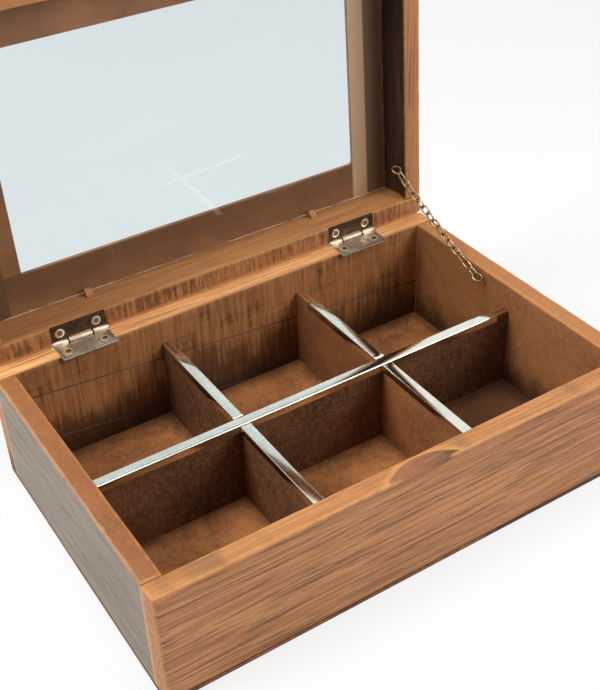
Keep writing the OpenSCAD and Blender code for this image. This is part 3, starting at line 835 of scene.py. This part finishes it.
class TEABOX_OT_walls(bpy.types.Operator):
    """Builds the four walls of the box"""
    bl_idname = "teabox.walls"
    bl_label = "Walls"

    def execute(self, context):
        self.front()
        self.back()
        # The left wall's outside is painted grey, a painted reflection of glare.
        self.side("left", "Left", "grey", "brown", 7.3, None)
        self.side("right", "Right", "outside", "rim", 9.9, 22 * MM)
        return {"FINISHED"}

    @staticmethod
    def front():
        low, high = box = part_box("front_wall")
        board = eased_board("front_board", low, high, 0, high.z, [(low.x, low.y), (high.x, low.y)])
        centre, radius = scoop_sphere()
        cut(board, primitive(
            "scoop_cutter", bpy.ops.mesh.primitive_uv_sphere_add,
            segments=200, ring_count=100, radius=radius, location=centre))
        finishes = {"all": OUTSIDE, "Back": (sawn_wood, "inside", 0.0), "Top": RIM}
        paint = board_material("front_wood", box, 0, 1.7, finishes, extra=front_marks)
        place_piece(board, "box", paint, "front_wall")

    @staticmethod
    def back():
        groove = bpy.context.scene.tea_box_sizes.groove
        low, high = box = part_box("back_wall")
        corners = [(low.x, high.y), (high.x, high.y)]
        board = eased_board("back_board", low, high, 0, high.z, corners, sharp_y=high.y)
        joints = []
        for share, slope in BACK_JOINTS:
            level = low.z + share * (high.z - low.z)
            foot = Vector((0.0, 0.0, level))
            normal = Vector((slope, 0.0, 1.0)).normalized()
            joints.append((level, normal))
            for offset in (-0.45, 0.0, 0.45):
                bisect(board, foot + offset * MM * normal, normal)

            def on_joint(place):
                return near((place - foot).dot(normal), 0.0) and abs(place.y - low.y) < 0.3 * MM
            move_where(board, on_joint, (0.0, groove, 0.0))
        cut_mortises(board, low.y, high.y, high.z, 1)
        finishes = {
            "all": OUTSIDE,
            "Front": (sawn_wood, "scorched", -0.07),
            # Painted light: the rim under the lid.
            "Top": (stained_wood, "painted_lit_rim", 0.8),
        }
        # Darker towards the bottom: partly stain, partly painted shade.
        grime_and_shade_band = (low.z, low.z + 24 * MM)
        extra = back_marks(low, joints)
        paint = board_material("back_wood", box, 0, 4.1, finishes, grime_and_shade_band=grime_and_shade_band, extra=extra)
        place_piece(board, "box", paint, "back_wall")

    @staticmethod
    def side(side, outer, skin, rim, seed, grime_and_shade_band_height):
        low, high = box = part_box(f"{side}_wall")
        board = eased_board(f"{side}_board", low, high, 1, high.z)
        finishes = {
            "all": (fibre_board, "inside", 0.6),
            "Top": (fibre_board, rim, 0.7),
            outer: (stained_wood, skin, 0.8),
        }
        # Darker towards the bottom: partly stain, partly painted shade.
        grime_and_shade_band = (low.z, low.z + grime_and_shade_band_height) if grime_and_shade_band_height else None
        paint = board_material(f"{side}_wood", box, 1, seed, finishes, edge=0.6, grime_and_shade_band=grime_and_shade_band)
        place_piece(board, "box", paint, f"{side}_wall")


def floor_stain(g, place, result):
    """Painted shade: darkens the floor beside the walls and dividers, and paints a shadow over the front
    right compartment.
    """
    low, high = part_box("cross_divider_right")
    divider, wall = (low.x + high.x) / 2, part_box("right_wall")[0].x
    x, y, _ = g.split(place)
    nearest = 1.0
    for value, places in ((x, (divider, wall)), (y, (0.0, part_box("back_wall")[0].y))):
        for other in places:
            nearest = g.math("MINIMUM", nearest, g.away(g.math("ABSOLUTE", value), other))
    # Painted shade in the floor's corners, by the distance to the nearest wall or divider.
    result = g.stain(result, "charred", grimy(g, place, nearest, 0.0, 9 * MM), 0.6)
    # Painted shadow over the front right compartment.
    corner = g.times(g.step(x, divider, divider + 4 * MM), g.step(g.times(y, -1.0), 0.0, 4 * MM))
    return g.stain(result, "charred", corner, 0.75)


class TEABOX_OT_floor(bpy.types.Operator):
    """Builds the base board, and finishes the brads that hold it"""
    bl_idname = "teabox.base"
    bl_label = "Base board"

    def execute(self, context):
        low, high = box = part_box("base_board")
        board = add_block("base_panel", low, high)
        bevel_where(board, upright, context.scene.tea_box_sizes.corner, 3)
        bevel_where(board, at_level(low.z), 0.4 * MM, 2)
        paint = fibre_material(
            "base_fibre", box, 2.2, "floor", edge=0.95, edge_tone="base_edge", extra=floor_stain)
        place_piece(board, "box", paint, "base_board")
        steel = metal_material("brad_steel", hue("steel"), hue("bronze_dark"), 0.6, 0.35, 400.0)
        materials = frame["nodes"]["base_brads"].data.materials
        materials.clear()
        materials.append(steel)
        return {"FINISHED"}


class TEABOX_OT_dividers(bpy.types.Operator):
    """Builds the three crossing divider boards"""
    bl_idname = "teabox.dividers"
    bl_label = "Dividers"

    def execute(self, context):
        for index, node in enumerate(("long_divider", "cross_divider_left", "cross_divider_right")):
            low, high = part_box(node)
            board = add_block(node.replace("divider", "partition"), low, high)
            bevel_where(board, at_level(high.z), 0.35 * MM, 2)
            half_way = (low.z + high.z) / 2
            if node == "long_divider":
                for other in ("cross_divider_left", "cross_divider_right"):
                    start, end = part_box(other)
                    cut_block(
                        board, (start.x - 0.05 * MM, low.y - MM, low.z - MM),
                        (end.x + 0.05 * MM, high.y + MM, half_way))
            else:
                strip_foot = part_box("long_edge_strip")[0].z - 0.1 * MM
                rows = (("long_divider", 0.05 * MM, half_way), ("long_edge_strip", 0.1 * MM, strip_foot))
                for other, slack, foot in rows:
                    start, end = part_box(other)
                    cut_block(
                        board, (low.x - MM, start.y - slack, foot),
                        (high.x + MM, end.y + slack, high.z + MM))
            ends = Vector((1.0, 0.0, 0.0) if node == "long_divider" else (0.0, 1.0, 0.0))
            box = (low - ends - Vector((0.0, 0.0, 1.0)), high + ends)
            # The right cross divider gets the painted-light copy of the fibre board.
            tones = "warm" if node == "cross_divider_right" else "divider"
            paint = fibre_material(node + "_fibre", box, 3.0 + 2 * index, tones)
            place_piece(board, "box", paint, node)
        return {"FINISHED"}


STRIP_SHEET = 0.5 * MM
STRIP_SHADE = (0.25, 0.26, 0.25)


class TEABOX_OT_strips(bpy.types.Operator):
    """Builds the polished edge strips on the dividers"""
    bl_idname = "teabox.strips"
    bl_label = "Edge strips"

    def execute(self, context):
        polish = metal_material("strip_chrome", hue("chrome"), STRIP_SHADE, 0.12, 0.07, 90.0, wave=0.12)
        self.strip("long_edge_strip", 0, polish)
        for side in ("left", "right"):
            for end in ("front", "back"):
                self.strip(f"edge_strip_{side}_{end}", 1, polish)
        return {"FINISHED"}

    @staticmethod
    def strip(node, along, polish):
        low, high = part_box(node)
        strip = add_block(node + "_cover", low, high)
        subdivide_along(strip, along, 24)
        bevel_where(strip, at_level(high.z), STRIP_SHEET, 4)
        inset_low = Vector((STRIP_SHEET, STRIP_SHEET, -MM))
        inset_high = Vector((STRIP_SHEET, STRIP_SHEET, STRIP_SHEET))
        inset_low[along] = inset_high[along] = -MM
        cut_block(strip, low + inset_low, high - inset_high)
        place_piece(strip, "box", polish, node)


# ---- Hinges and screws ----

BARREL = 1.6 * MM
BORE = 0.8 * MM
PIN = 0.75 * MM
KNUCKLE_BED = 1.9 * MM
KNUCKLE_GAP = 0.15 * MM
HEAD_SLACK = 0.06 * MM
# Length of the middle knuckle as a share of the leaf's
MIDDLE_KNUCKLE = 0.45
# How a screw head is rounded: inset and rise of each ring, in millimetres
DOME = ((0.25, 0.1), (0.55, 0.08), (0.6, 0.04))
SCREW_LENGTH = 8.5 * MM
# Turn of the first screw's cross, and from each screw's to the next
FIRST_TURN, NEXT_TURN = 0.6, 1.1


def hinge_leaf(name, centre, length, width, screw_in, rim, outer):
    """One leaf, drawn lying in the box's rim, with the outer knuckles or the middle one."""
    sizes = bpy.context.scene.tea_box_sizes
    half = length / 2
    plate = add_block(
        name, (centre - half, HINGE.y - width, rim - sizes.leaf), (centre + half, HINGE.y, rim))
    bevel_where(plate, lambda a, b: upright(a, b) and a.y < HINGE.y - 5 * MM, 0.8 * MM, 3)
    bevel_where(plate, at_level(rim), 0.18 * MM, 2)
    head = sizes.screw_head / 2 + HEAD_SLACK
    step = Vector((0, 0, 0.4 * MM))
    for side in (-1, 1):
        seat = Vector((centre + side * sizes.screw_out, HINGE.y - screw_in, rim))
        cut(plate, add_rod("cutter", head, seat - step, seat + step, 48))
        cut(plate, primitive(
            "cutter", bpy.ops.mesh.primitive_cone_add,
            vertices=48, radius1=MM, radius2=head, depth=0.5 * MM, location=seat - step * 1.6))
    middle = length * MIDDLE_KNUCKLE / 2
    knuckles = [(KNUCKLE_GAP - middle, middle - KNUCKLE_GAP)]
    clear = [(-half - MM, -middle), (middle, half + MM)]
    if outer:
        knuckles = [(-half, -middle), (middle, half)]
        clear = [(-middle - KNUCKLE_GAP, middle + KNUCKLE_GAP)]
    for start, end in clear:
        cut_block(
            plate, (centre + start, HINGE.y - KNUCKLE_BED, rim - 3 * MM),
            (centre + end, HINGE.y + MM, rim + 3 * MM))
    for start, end in knuckles:
        barrel = pin_rod("barrel", BARREL, centre + start, centre + end, 40)
        bevel_where(barrel, lambda a, b: near(a.x, b.x), 0.2 * MM, 2)
        cut(plate, barrel, "UNION")
    cut(plate, pin_rod("cutter", BORE, centre - half - MM, centre + half + MM))
    return plate


def along_pin(g, x):
    """Distance along the pin from the middle of the nearest hinge."""
    low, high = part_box("hinge_right_pin")
    return g.away(g.math("ABSOLUTE", x), (low.x + high.x) / 2)


def leaf_marks(width):
    """Painted shade on a leaf of this width: dark gaps between its bright knuckles, and a dark line
    inside its edges.
    """
    low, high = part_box("hinge_right_box_leaf")
    length = high.x - low.x

    def marks(g, place, result):
        x, y, z = g.split(place)
        along = along_pin(g, x)
        inside = g.math("MINIMUM", g.minus(y, HINGE.y - width), g.minus(length / 2, along))
        # Painted shade along the inside of the leaf's edges.
        line = g.fade(g.away(inside, 1.1 * MM), 0.15 * MM, 0.4 * MM)
        result = g.stain(result, "bronze_dark", line, 0.75)
        away = g.distance(g.joined(0.0, y, z), (0.0, HINGE.y, HINGE.z))
        barrel = g.fade(away, 1.66 * MM, 1.85 * MM)
        result = g.stain(result, "bronze", barrel, 0.85)
        # Painted shade in the gaps between the knuckles.
        gap = g.fade(g.away(along, MIDDLE_KNUCKLE / 2 * length), 0.3 * MM, 0.55 * MM)
        return g.stain(result, "charred", gap, barrel)
    return marks


def head_marks(screw_in):
    """Painted shade: the dark middle of a screw head, inside its bright ring."""
    sizes = bpy.context.scene.tea_box_sizes

    def marks(g, place, result):
        x, y, _ = g.split(place)
        flat = g.joined(along_pin(g, x), y, 0.0)
        away = g.distance(flat, (sizes.screw_out, HINGE.y - screw_in, 0.0))
        inner = g.fade(away, 0.26 * sizes.screw_head, 0.32 * sizes.screw_head)
        return g.stain(result, "bronze_dark", inner, 0.75)
    return marks


class TEABOX_OT_hinges(bpy.types.Operator):
    """Builds the two butt hinges, each of two leaves and a pin"""
    bl_idname = "teabox.hinges"
    bl_label = "Hinges"

    def execute(self, context):
        sizes = context.scene.tea_box_sizes
        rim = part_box("left_wall")[1].z
        tint = hue("bronze_dark")
        bronze = metal_material(
            "hinge_bronze", hue("bronze"), tint, 0.5, 0.26, 170.0,
            extra=leaf_marks(sizes.box_leaf), metallic=0.75)
        # The lid's leaves are painted dark, as painted shade in their mortises.
        dark = metal_material(
            "hinge_dark", tint, hue("charred"), 0.8, 0.35, 330.0,
            on_lid=True, extra=leaf_marks(sizes.lid_leaf), metallic=0.75)
        for side in ("left", "right"):
            hinge = f"hinge_{side}"
            low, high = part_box(hinge + "_box_leaf")
            spot = ((low.x + high.x) / 2, high.x - low.x)
            name = hinge + "_box_plate"
            leaf = hinge_leaf(name, *spot, sizes.box_leaf, sizes.box_screw_in, rim, True)
            place_piece(leaf, "box", bronze, hinge + "_box_leaf")
            name = hinge + "_lid_plate"
            leaf = hinge_leaf(name, *spot, sizes.lid_leaf, sizes.lid_screw_in, rim, False)
            settle(leaf, name, FLIP_TO_LID)
            outward(leaf)
            place_piece(leaf, "lid", dark, hinge + "_lid_leaf")
            low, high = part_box(hinge + "_pin")
            pin = pin_rod(hinge + "_rod", PIN, low.x, high.x, 24)
            bevel_where(pin, lambda a, b: near(a.x, b.x), 0.3 * MM, 3)
            place_piece(pin, "box", bronze, hinge + "_pin")
        return {"FINISHED"}


def cross_screw(name, head, length_down):
    """A screw with a low domed head and a cross recess, upright, with its point below the origin."""
    top = 0.22 * MM
    thickness = 0.14 * MM
    screw = primitive(
        name, bpy.ops.mesh.primitive_cylinder_add,
        vertices=48, radius=head / 2, depth=thickness, location=(0, 0, -top - thickness / 2))

    def under(centre, normal):
        return centre.xy.length < 0.01 * MM and normal.z < -0.9

    def over(centre, normal):
        return centre.z > -top - 0.01 * MM and centre.xy.length < 0.01 * MM and normal.z > 0.9

    def extrude_down(depth):
        work(screw, "FACE", under, bpy.ops.mesh.extrude_region_move,
             TRANSFORM_OT_translate={"value": (0, 0, -depth)})
    for inset, rise in DOME:
        work(screw, "FACE", over, bpy.ops.mesh.inset, thickness=inset * MM, depth=rise * MM)
    extrude_down(0.42 * MM)
    work(screw, "FACE", under, bpy.ops.transform.resize, value=(0.4, 0.4, 1.0))
    extrude_down(length_down)
    long_way, short_way = 0.27 * head, 0.36 * MM
    for x, y in ((long_way, short_way), (short_way, long_way)):
        cut_block(screw, (-x, -y, -0.65 * MM), (x, y, MM))
    return screw


class TEABOX_OT_screws(bpy.types.Operator):
    """Builds the hinge screws, one of them brass"""
    bl_idname = "teabox.screws"
    bl_label = "Hinge screws"

    def execute(self, context):
        sizes = context.scene.tea_box_sizes
        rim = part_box("left_wall")[1].z
        box_in, lid_in = sizes.box_screw_in, sizes.lid_screw_in
        rows = {
            "box_leaf_screws": ("box", "screw_steel", "box_screw_steel", "steel", 0.2, box_in),
            "brass_screw": ("box", "screw_brass", "screw_brass", "brass", 0.1, box_in),
            "lid_leaf_screws": ("lid", "screw_steel", "lid_screw_steel", "steel", 0.2, lid_in),
        }
        places = {node: [] for node in rows}
        for side in ("left", "right"):
            low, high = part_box(f"hinge_{side}_pin")
            for end in (-1, 1):
                x = (low.x + high.x) / 2 + end * sizes.screw_out
                number = len(places["lid_leaf_screws"])
                turn = Matrix.Rotation(FIRST_TURN + NEXT_TURN * number, 4, "Z")
                node = "brass_screw" if (side, end) == ("left", -1) else "box_leaf_screws"
                places[node].append(Matrix.Translation((x, HINGE.y - box_in, rim)) @ turn)
                spot = Matrix.Translation((x, HINGE.y - lid_in, rim))
                places["lid_leaf_screws"].append(FLIP_TO_LID @ spot @ turn)
        master = cross_screw("screw_master", sizes.screw_head, SCREW_LENGTH)
        for node, (body, slot, paint_name, metal, stain, screw_in) in rows.items():
            paint = metal_material(
                paint_name, hue(metal), hue("bronze_dark"), stain, 0.25, 600.0,
                on_lid=body == "lid", extra=head_marks(screw_in), metallic=0.75)
            for index, place in enumerate(places[node], 1):
                screw = copy_piece(master, f"{node}_{index}", place)
                outward(screw)
                place_piece(screw, body, paint, node)
        bpy.data.objects.remove(master)
        return {"FINISHED"}


# ---- Lid ----

def panel_stain(g, place, result):
    """Painted light and shade: a pale lit band right of the window, the side rails' dark painted
    shadows, and brown painted shade behind the window.
    """
    x, y, z = g.split(place)
    low, high = closed_box("lid_top_panel")
    window = high - Vector((1.0, 1.0, 0.0)) * bpy.context.scene.tea_box_sizes.border
    under = g.fade(z, low.z + 0.2 * MM, low.z + 0.4 * MM)
    # Painted shadows of the side rails on the border.
    beside = g.step(g.math("ABSOLUTE", x), window.x + 8.2 * MM, window.x + 8.9 * MM)
    # Painted light on the border right of the window.
    pale = g.times(g.step(x, window.x - MM, window.x), under)
    result = g.stain(result, "blush", pale, 0.9)
    result = g.stain(result, "border_shade", beside, under, 0.9)
    # Painted shade on the border behind the window, darkest near it.
    cloud = g.times(g.minus(g.noise(place, 60.0, 4.0, 0.6), 0.5), 14 * MM)
    fade = g.fade(g.math("ADD", y, cloud), window.y + 4 * MM, window.y + 19 * MM)
    return g.stain(
        result, "border_shade", g.step(y, window.y - 2 * MM, window.y),
        g.minus(1.0, g.math("MAXIMUM", beside, pale)), g.scaled_sum(fade, 0.6, 0.15), under)


class TEABOX_OT_lid_frame(bpy.types.Operator):
    """Builds the lid's rails, its panel with the window, and the blocks that hold the glass"""
    bl_idname = "teabox.lid_frame"
    bl_label = "Lid frame"

    def execute(self, context):
        # dark gives the inside of the side rails stain and painted shade.
        dark, rubbed = (stained_wood, "dark", 0.7), (stained_wood, "rubbed", 0.6)
        inside = (stained_wood, "inside", 0.6)
        self.rail("front", 0, 17.0, {"all": OUTSIDE, "Back": inside, "Under": RIM})
        self.rail("back", 0, 16.0, {"all": OUTSIDE, "Front": RIM, "Under": (sawn_wood, "inside", 0.02)})
        self.rail("left", 1, 16.0, {"all": OUTSIDE, "Right": dark, "Under": rubbed})
        self.rail("right", 1, 17.0, {"all": OUTSIDE, "Left": dark, "Under": rubbed})
        self.panel()
        self.blocks()
        return {"FINISHED"}

    @staticmethod
    def rail(side, axis, seed, finishes):
        low, high = box = closed_box(f"lid_{side}_rail")
        y = low.y if side == "front" else high.y
        corners = [(low.x, y), (high.x, y)] if axis == 0 else []
        sharp_y = high.y if side == "back" else None
        rail = eased_board(f"lid_{side}_board", low, high, axis, low.z, corners, sharp_y)
        if side == "back":
            def at_pin(place):
                return near(place.y, high.y) and near(place.z, low.z)
            move_where(rail, at_pin, (0.0, 0.2 * MM, 0.0))
            cut_mortises(rail, low.y, high.y, low.z, -1)
        settle(rail, rail.name, TO_OPEN)
        # The side rails darken towards the panel: partly stain, partly painted shade.
        grime_and_shade_band = (high.z, low.z + MM) if axis == 1 else None
        paint = board_material(
            f"lid_{side}_wood", box, axis, seed, finishes, on_lid=True, edge=0.6, grime_and_shade_band=grime_and_shade_band)
        place_piece(rail, "lid", paint, f"lid_{side}_rail")

    @staticmethod
    def panel():
        sizes = bpy.context.scene.tea_box_sizes
        low, high = box = closed_box("lid_top_panel")
        panel = add_block("lid_panel_board", low, high)
        bevel_where(panel, upright, sizes.corner, 3)
        inset = Vector((sizes.border, sizes.border, -MM))
        window = add_block("cutter", low + inset, high - inset)
        bevel_where(window, upright, sizes.window_corner, 8)
        cut(panel, window)
        bevel_where(panel, at_level(high.z), 0.9 * MM, 3)
        settle(panel, panel.name, TO_OPEN)
        finishes = {"all": OUTSIDE, "Under": (fibre_board, "rubbed", 0.7)}
        paint = board_material(
            "lid_panel_wood", box, 0, 31.0, finishes, on_lid=True, edge=0.3, extra=panel_stain)
        place_piece(panel, "lid", paint, "lid_top_panel")

    @staticmethod
    def blocks():
        low, high = box = closed_box("glazing_tabs")
        size = high.z - low.z
        length = bpy.context.scene.tea_box_sizes.block
        finishes = {"all": (stained_wood, "rubbed", 0.5)}
        paint = board_material("glazing_block_wood", box, 0, 40.0, finishes, on_lid=True, edge=0.2)
        number = 0
        for x in (low.x, high.x - length):
            for y, inward in ((low.y, 1), (high.y, -1)):
                number += 1
                near_y, far_y = sorted((y, y + inward * size))
                block = add_block(
                    f"glazing_block_{number}", (x, near_y, low.z), (x + length, far_y, high.z))

                def free_edge(a, b):
                    return near(a.z, low.z) and near(b.z, low.z) and near(a.y, b.y) and not near(a.y, y)
                bevel_where(block, free_edge, 0.7 * size, 1)
                bevel_where(block, everywhere, 0.12 * MM, 1)
                settle(block, block.name, TO_OPEN)
                place_piece(block, "lid", paint, "glazing_tabs")


class TEABOX_OT_glass(bpy.types.Operator):
    """Builds the pane of glass in the lid"""
    bl_idname = "teabox.glass"
    bl_label = "Glass"

    def execute(self, context):
        low, high = closed_box("glass_pane")
        pane = add_block("lid_glass", low, high)
        bevel_where(pane, everywhere, 0.25 * MM, 2)
        settle(pane, pane.name, TO_OPEN)
        material, g = new_material("clear_glass")
        place = place_vector(g, True)
        smudge = g.times(g.step(g.noise(place, 22.0, 4.0, 0.6, 0.8), 0.5, 0.75), 0.03)
        _, y, z = g.split(place)
        # Painted highlight: the glass's cut edge glows, though it is no lamp.
        edge = g.step(g.math("ABSOLUTE", y), high.y - 0.7 * MM, high.y - 0.3 * MM)
        under = g.fade(z, low.z + 0.4 * MM, low.z + 0.8 * MM)
        uneven = g.step(g.noise(place, 75.0, 3.0, 0.6), 0.35, 0.6)
        lit = g.blend((0.0, 0.0, 0.0), hue("glass_edge"), edge, under, uneven)
        shader = g.add("BsdfPrincipled", {
            "Base Color": hue("glass"), "Roughness": g.math("ADD", smudge, 0.005), "IOR": 1.2,
            "Transmission Weight": 1.0, "Metallic": 0.0, "Emission Color": lit, "Emission Strength": 0.3,
        })
        clear = g.add("BsdfTransparent", {"Color": hue("glass")})
        path = g.add("LightPath").outputs
        passing = g.math("MAXIMUM", path["Is Shadow Ray"], path["Is Diffuse Ray"])
        g.surface(g.add("MixShader", {0: passing, 1: shader.outputs[0], 2: clear.outputs[0]}))
        place_piece(pane, "lid", material, "glass_pane")
        return {"FINISHED"}


# ---- Chain ----

def ring(name, radius, wire, straight):
    """A closed ring of wire about the origin in the XY plane, drawn out along X by a straight run."""
    segments = 44
    link = primitive(
        name, bpy.ops.mesh.primitive_torus_add, major_radius=radius, minor_radius=wire / 2,
        major_segments=segments, minor_segments=14, rotation=(0, 0, math.pi / segments))
    if straight:
        move_where(link, lambda place: place.x > 0, (straight / 2, 0, 0))
        move_where(link, lambda place: place.x < 0, (-straight / 2, 0, 0))
    return link


def long_way(points):
    """Middle of some points, and the direction of their longest spread across X."""
    centre = points.mean(0)
    spread = points[:, 1:] - centre[1:]
    _, vectors = np.linalg.eigh(spread.T @ spread)
    return Vector(centre), Vector((0.0, *vectors[:, 1]))


def ring_place(centre, run, through):
    """A matrix that moves a ring to its centre, its length along run and its hole along through."""
    return Matrix.Translation(centre) @ Matrix((run, through.cross(run), through)).transposed().to_4x4()


def link_place(node):
    """Where a chain link lies, as a matrix."""
    points = node_points(node)
    centre, run = long_way(points)
    if run.y < 0:
        run.negate()
    x_axis = Vector((1.0, 0.0, 0.0))
    is_upright = np.ptp(points[:, 0]) < 2 * MM
    return ring_place(centre, run, x_axis if is_upright else run.cross(x_axis).normalized())


class TEABOX_OT_chain(bpy.types.Operator):
    """Builds the chain's links and the two screw eyes"""
    bl_idname = "teabox.chain"
    bl_label = "Chain"

    def execute(self, context):
        sizes = context.scene.tea_box_sizes
        bronze = metal_material("chain_bronze", hue("chain"), hue("bronze_dark"), 0.7, 0.3, 500.0)
        arc = (sizes.link_width - sizes.chain_wire) / 2
        master = ring("link_master", arc, sizes.chain_wire, sizes.link_length - sizes.link_width)
        number = 1
        while f"chain_link_{number}" in frame["nodes"]:
            node = f"chain_link_{number}"
            link = copy_piece(master, f"link_ring_{number}", link_place(node))
            place_piece(link, f"link_{number}", bronze, node, smooth=60)
            number += 1
        bpy.data.objects.remove(master)
        chain_x = link_place("chain_link_1").translation.x
        for body, wall in (("box", "right_wall"), ("lid", "lid_right_rail")):
            node = body + "_screw_eye"
            points = node_points(node)
            centre, run = long_way(points[points[:, 0] < chain_x])
            middle = Vector((chain_x, centre.y, centre.z))
            through = run.cross(Vector((1.0, 0.0, 0.0))).normalized()
            eye = ring(node + "_loop", sizes.eye_radius, sizes.eye_wire, 0.0)
            settle(eye, eye.name, ring_place(middle, run, through))
            outward(eye)
            shank_end = (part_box(wall)[0].x + 7 * MM, middle.y, middle.z)
            shank_start = middle + Vector((sizes.eye_radius, 0, 0))
            cut(eye, add_rod("shank", sizes.eye_wire / 2, shank_start, shank_end, 20), "UNION")
            place_piece(eye, body, bronze, node, smooth=50)
        return {"FINISHED"}


# ---- Stage ----

LIGHTS = (
    ("upper_left", (-0.82, 0.26, 0.9), 0.5, "key"),
    ("overhead", (0.0, 0.0, 1.2), 0.5, "top"),
    ("front_right", (0.62, -0.78, 0.68), 0.6, "fill"),
)
LIGHT_TARGET = Vector((0.0, 0.0, 0.04))
CAMERA_PLACE = Vector((-0.21329, -0.34151, 0.36355))
CAMERA_RIGHT = Vector((0.84178, -0.53872, -0.03448))
CAMERA_DOWN = Vector((-0.34147, -0.48192, -0.80694))
CAMERA_AHEAD = Vector((0.41810, 0.69104, -0.58962))
WHITE = (1.0, 1.0, 1.0)
FLOOR_GREY = (0.86, 0.86, 0.86)
# How far the camera sees the floor as plain white
FLOOR_GLOW = 0.78


class TEABOX_OT_stage(bpy.types.Operator):
    """Builds the floor, the lights, the surroundings and the camera"""
    bl_idname = "teabox.stage"
    bl_label = "Stage"

    def execute(self, context):
        stage = context.scene.tea_box_stage
        floor = primitive(
            "studio_floor", bpy.ops.mesh.primitive_plane_add,
            size=stage.floor_size, location=(0, 0, -0.05 * MM))
        material, g = new_material("studio_floor")
        shader = g.add("BsdfPrincipled", {"Base Color": FLOOR_GREY, "Roughness": 0.9})
        shader.inputs["Specular IOR Level"].default_value = 0.1
        glow = g.add("Emission", {"Color": WHITE, "Strength": 1.0})
        shown = g.times(self.seen(g), FLOOR_GLOW)
        g.surface(g.add("MixShader", {0: shown, 1: shader.outputs[0], 2: glow.outputs[0]}))
        floor.data.materials.append(material)

        world = bpy.data.worlds.new("studio")
        context.scene.world = world
        world.use_nodes = True
        world.node_tree.nodes.clear()
        g = Graph(world.node_tree)
        strength = g.scaled_sum(self.seen(g), 1.0 - stage.sky, stage.sky)
        back = g.add("Background", {"Color": WHITE, "Strength": strength})
        g.add("OutputWorld", {"Surface": back.outputs[0]})

        for name, place, size, power_name in LIGHTS:
            self.lamp(name, place, size, getattr(stage, power_name))

        camera = bpy.data.objects.new("camera", bpy.data.cameras.new("camera"))
        context.scene.collection.objects.link(camera)
        context.scene.camera = camera
        camera.data.lens = stage.lens
        camera.data.sensor_width = 36.0
        camera.data.sensor_fit = "AUTO"
        camera.data.clip_start, camera.data.clip_end = 0.01, 20.0
        turn = Matrix((CAMERA_RIGHT, -CAMERA_DOWN, -CAMERA_AHEAD)).transposed().to_4x4()
        camera.matrix_world = Matrix.Translation(CAMERA_PLACE) @ turn
        context.scene.view_settings.view_transform = "Standard"
        return {"FINISHED"}

    @staticmethod
    def seen(g):
        """1 for rays from the camera, from a reflection or through glass."""
        path = g.add("LightPath").outputs
        direct = g.math("MAXIMUM", path["Is Camera Ray"], path["Is Glossy Ray"])
        return g.math("MAXIMUM", direct, path["Is Transmission Ray"])

    @staticmethod
    def lamp(name, place, size, watts):
        """A square soft light that points at the box."""
        data = bpy.data.lights.new(name, "AREA")
        data.shape = "SQUARE"
        data.size = size
        data.energy = watts
        lamp = bpy.data.objects.new(name, data)
        bpy.context.scene.collection.objects.link(lamp)
        aim = (LIGHT_TARGET - Vector(place)).to_track_quat("-Z", "Y").to_matrix().to_4x4()
        lamp.matrix_world = Matrix.Translation(place) @ aim


# ---- Panel ----

STEPS = (
    TEABOX_OT_walls, TEABOX_OT_floor, TEABOX_OT_dividers, TEABOX_OT_strips, TEABOX_OT_hinges,
    TEABOX_OT_screws, TEABOX_OT_lid_frame, TEABOX_OT_glass, TEABOX_OT_chain, TEABOX_OT_stage,
)


class TEABOX_PT_panel(bpy.types.Panel):
    """Lists the steps of the box and what a user may change"""
    bl_idname = "TEABOX_PT_panel"
    bl_label = "Tea Box"
    bl_space_type = "VIEW_3D"
    bl_region_type = "UI"
    bl_category = "Tea Box"

    def draw(self, context):
        for name in SETTINGS:
            settings = getattr(context.scene, name)
            column = self.layout.column(align=True)
            for entry in settings.__annotations__:
                column.prop(settings, entry)
        for step in STEPS:
            self.layout.operator(step.bl_idname)


SETTINGS = {
    "tea_box_sizes": TeaBoxSizes, "tea_box_colours": TeaBoxColours, "tea_box_stage": TeaBoxStage,
}
CLASSES = (*SETTINGS.values(), *STEPS, TEABOX_PT_panel)


def register():
    for item in CLASSES:
        bpy.utils.register_class(item)
    for name, item in SETTINGS.items():
        setattr(bpy.types.Scene, name, PointerProperty(type=item))


def unregister():
    for name in SETTINGS:
        delattr(bpy.types.Scene, name)
    for item in reversed(CLASSES):
        bpy.utils.unregister_class(item)


def main():
    register()
    for step in STEPS:
        family, name = step.bl_idname.split(".")
        getattr(getattr(bpy.ops, family), name)()


if __name__ == "__main__":
    main()
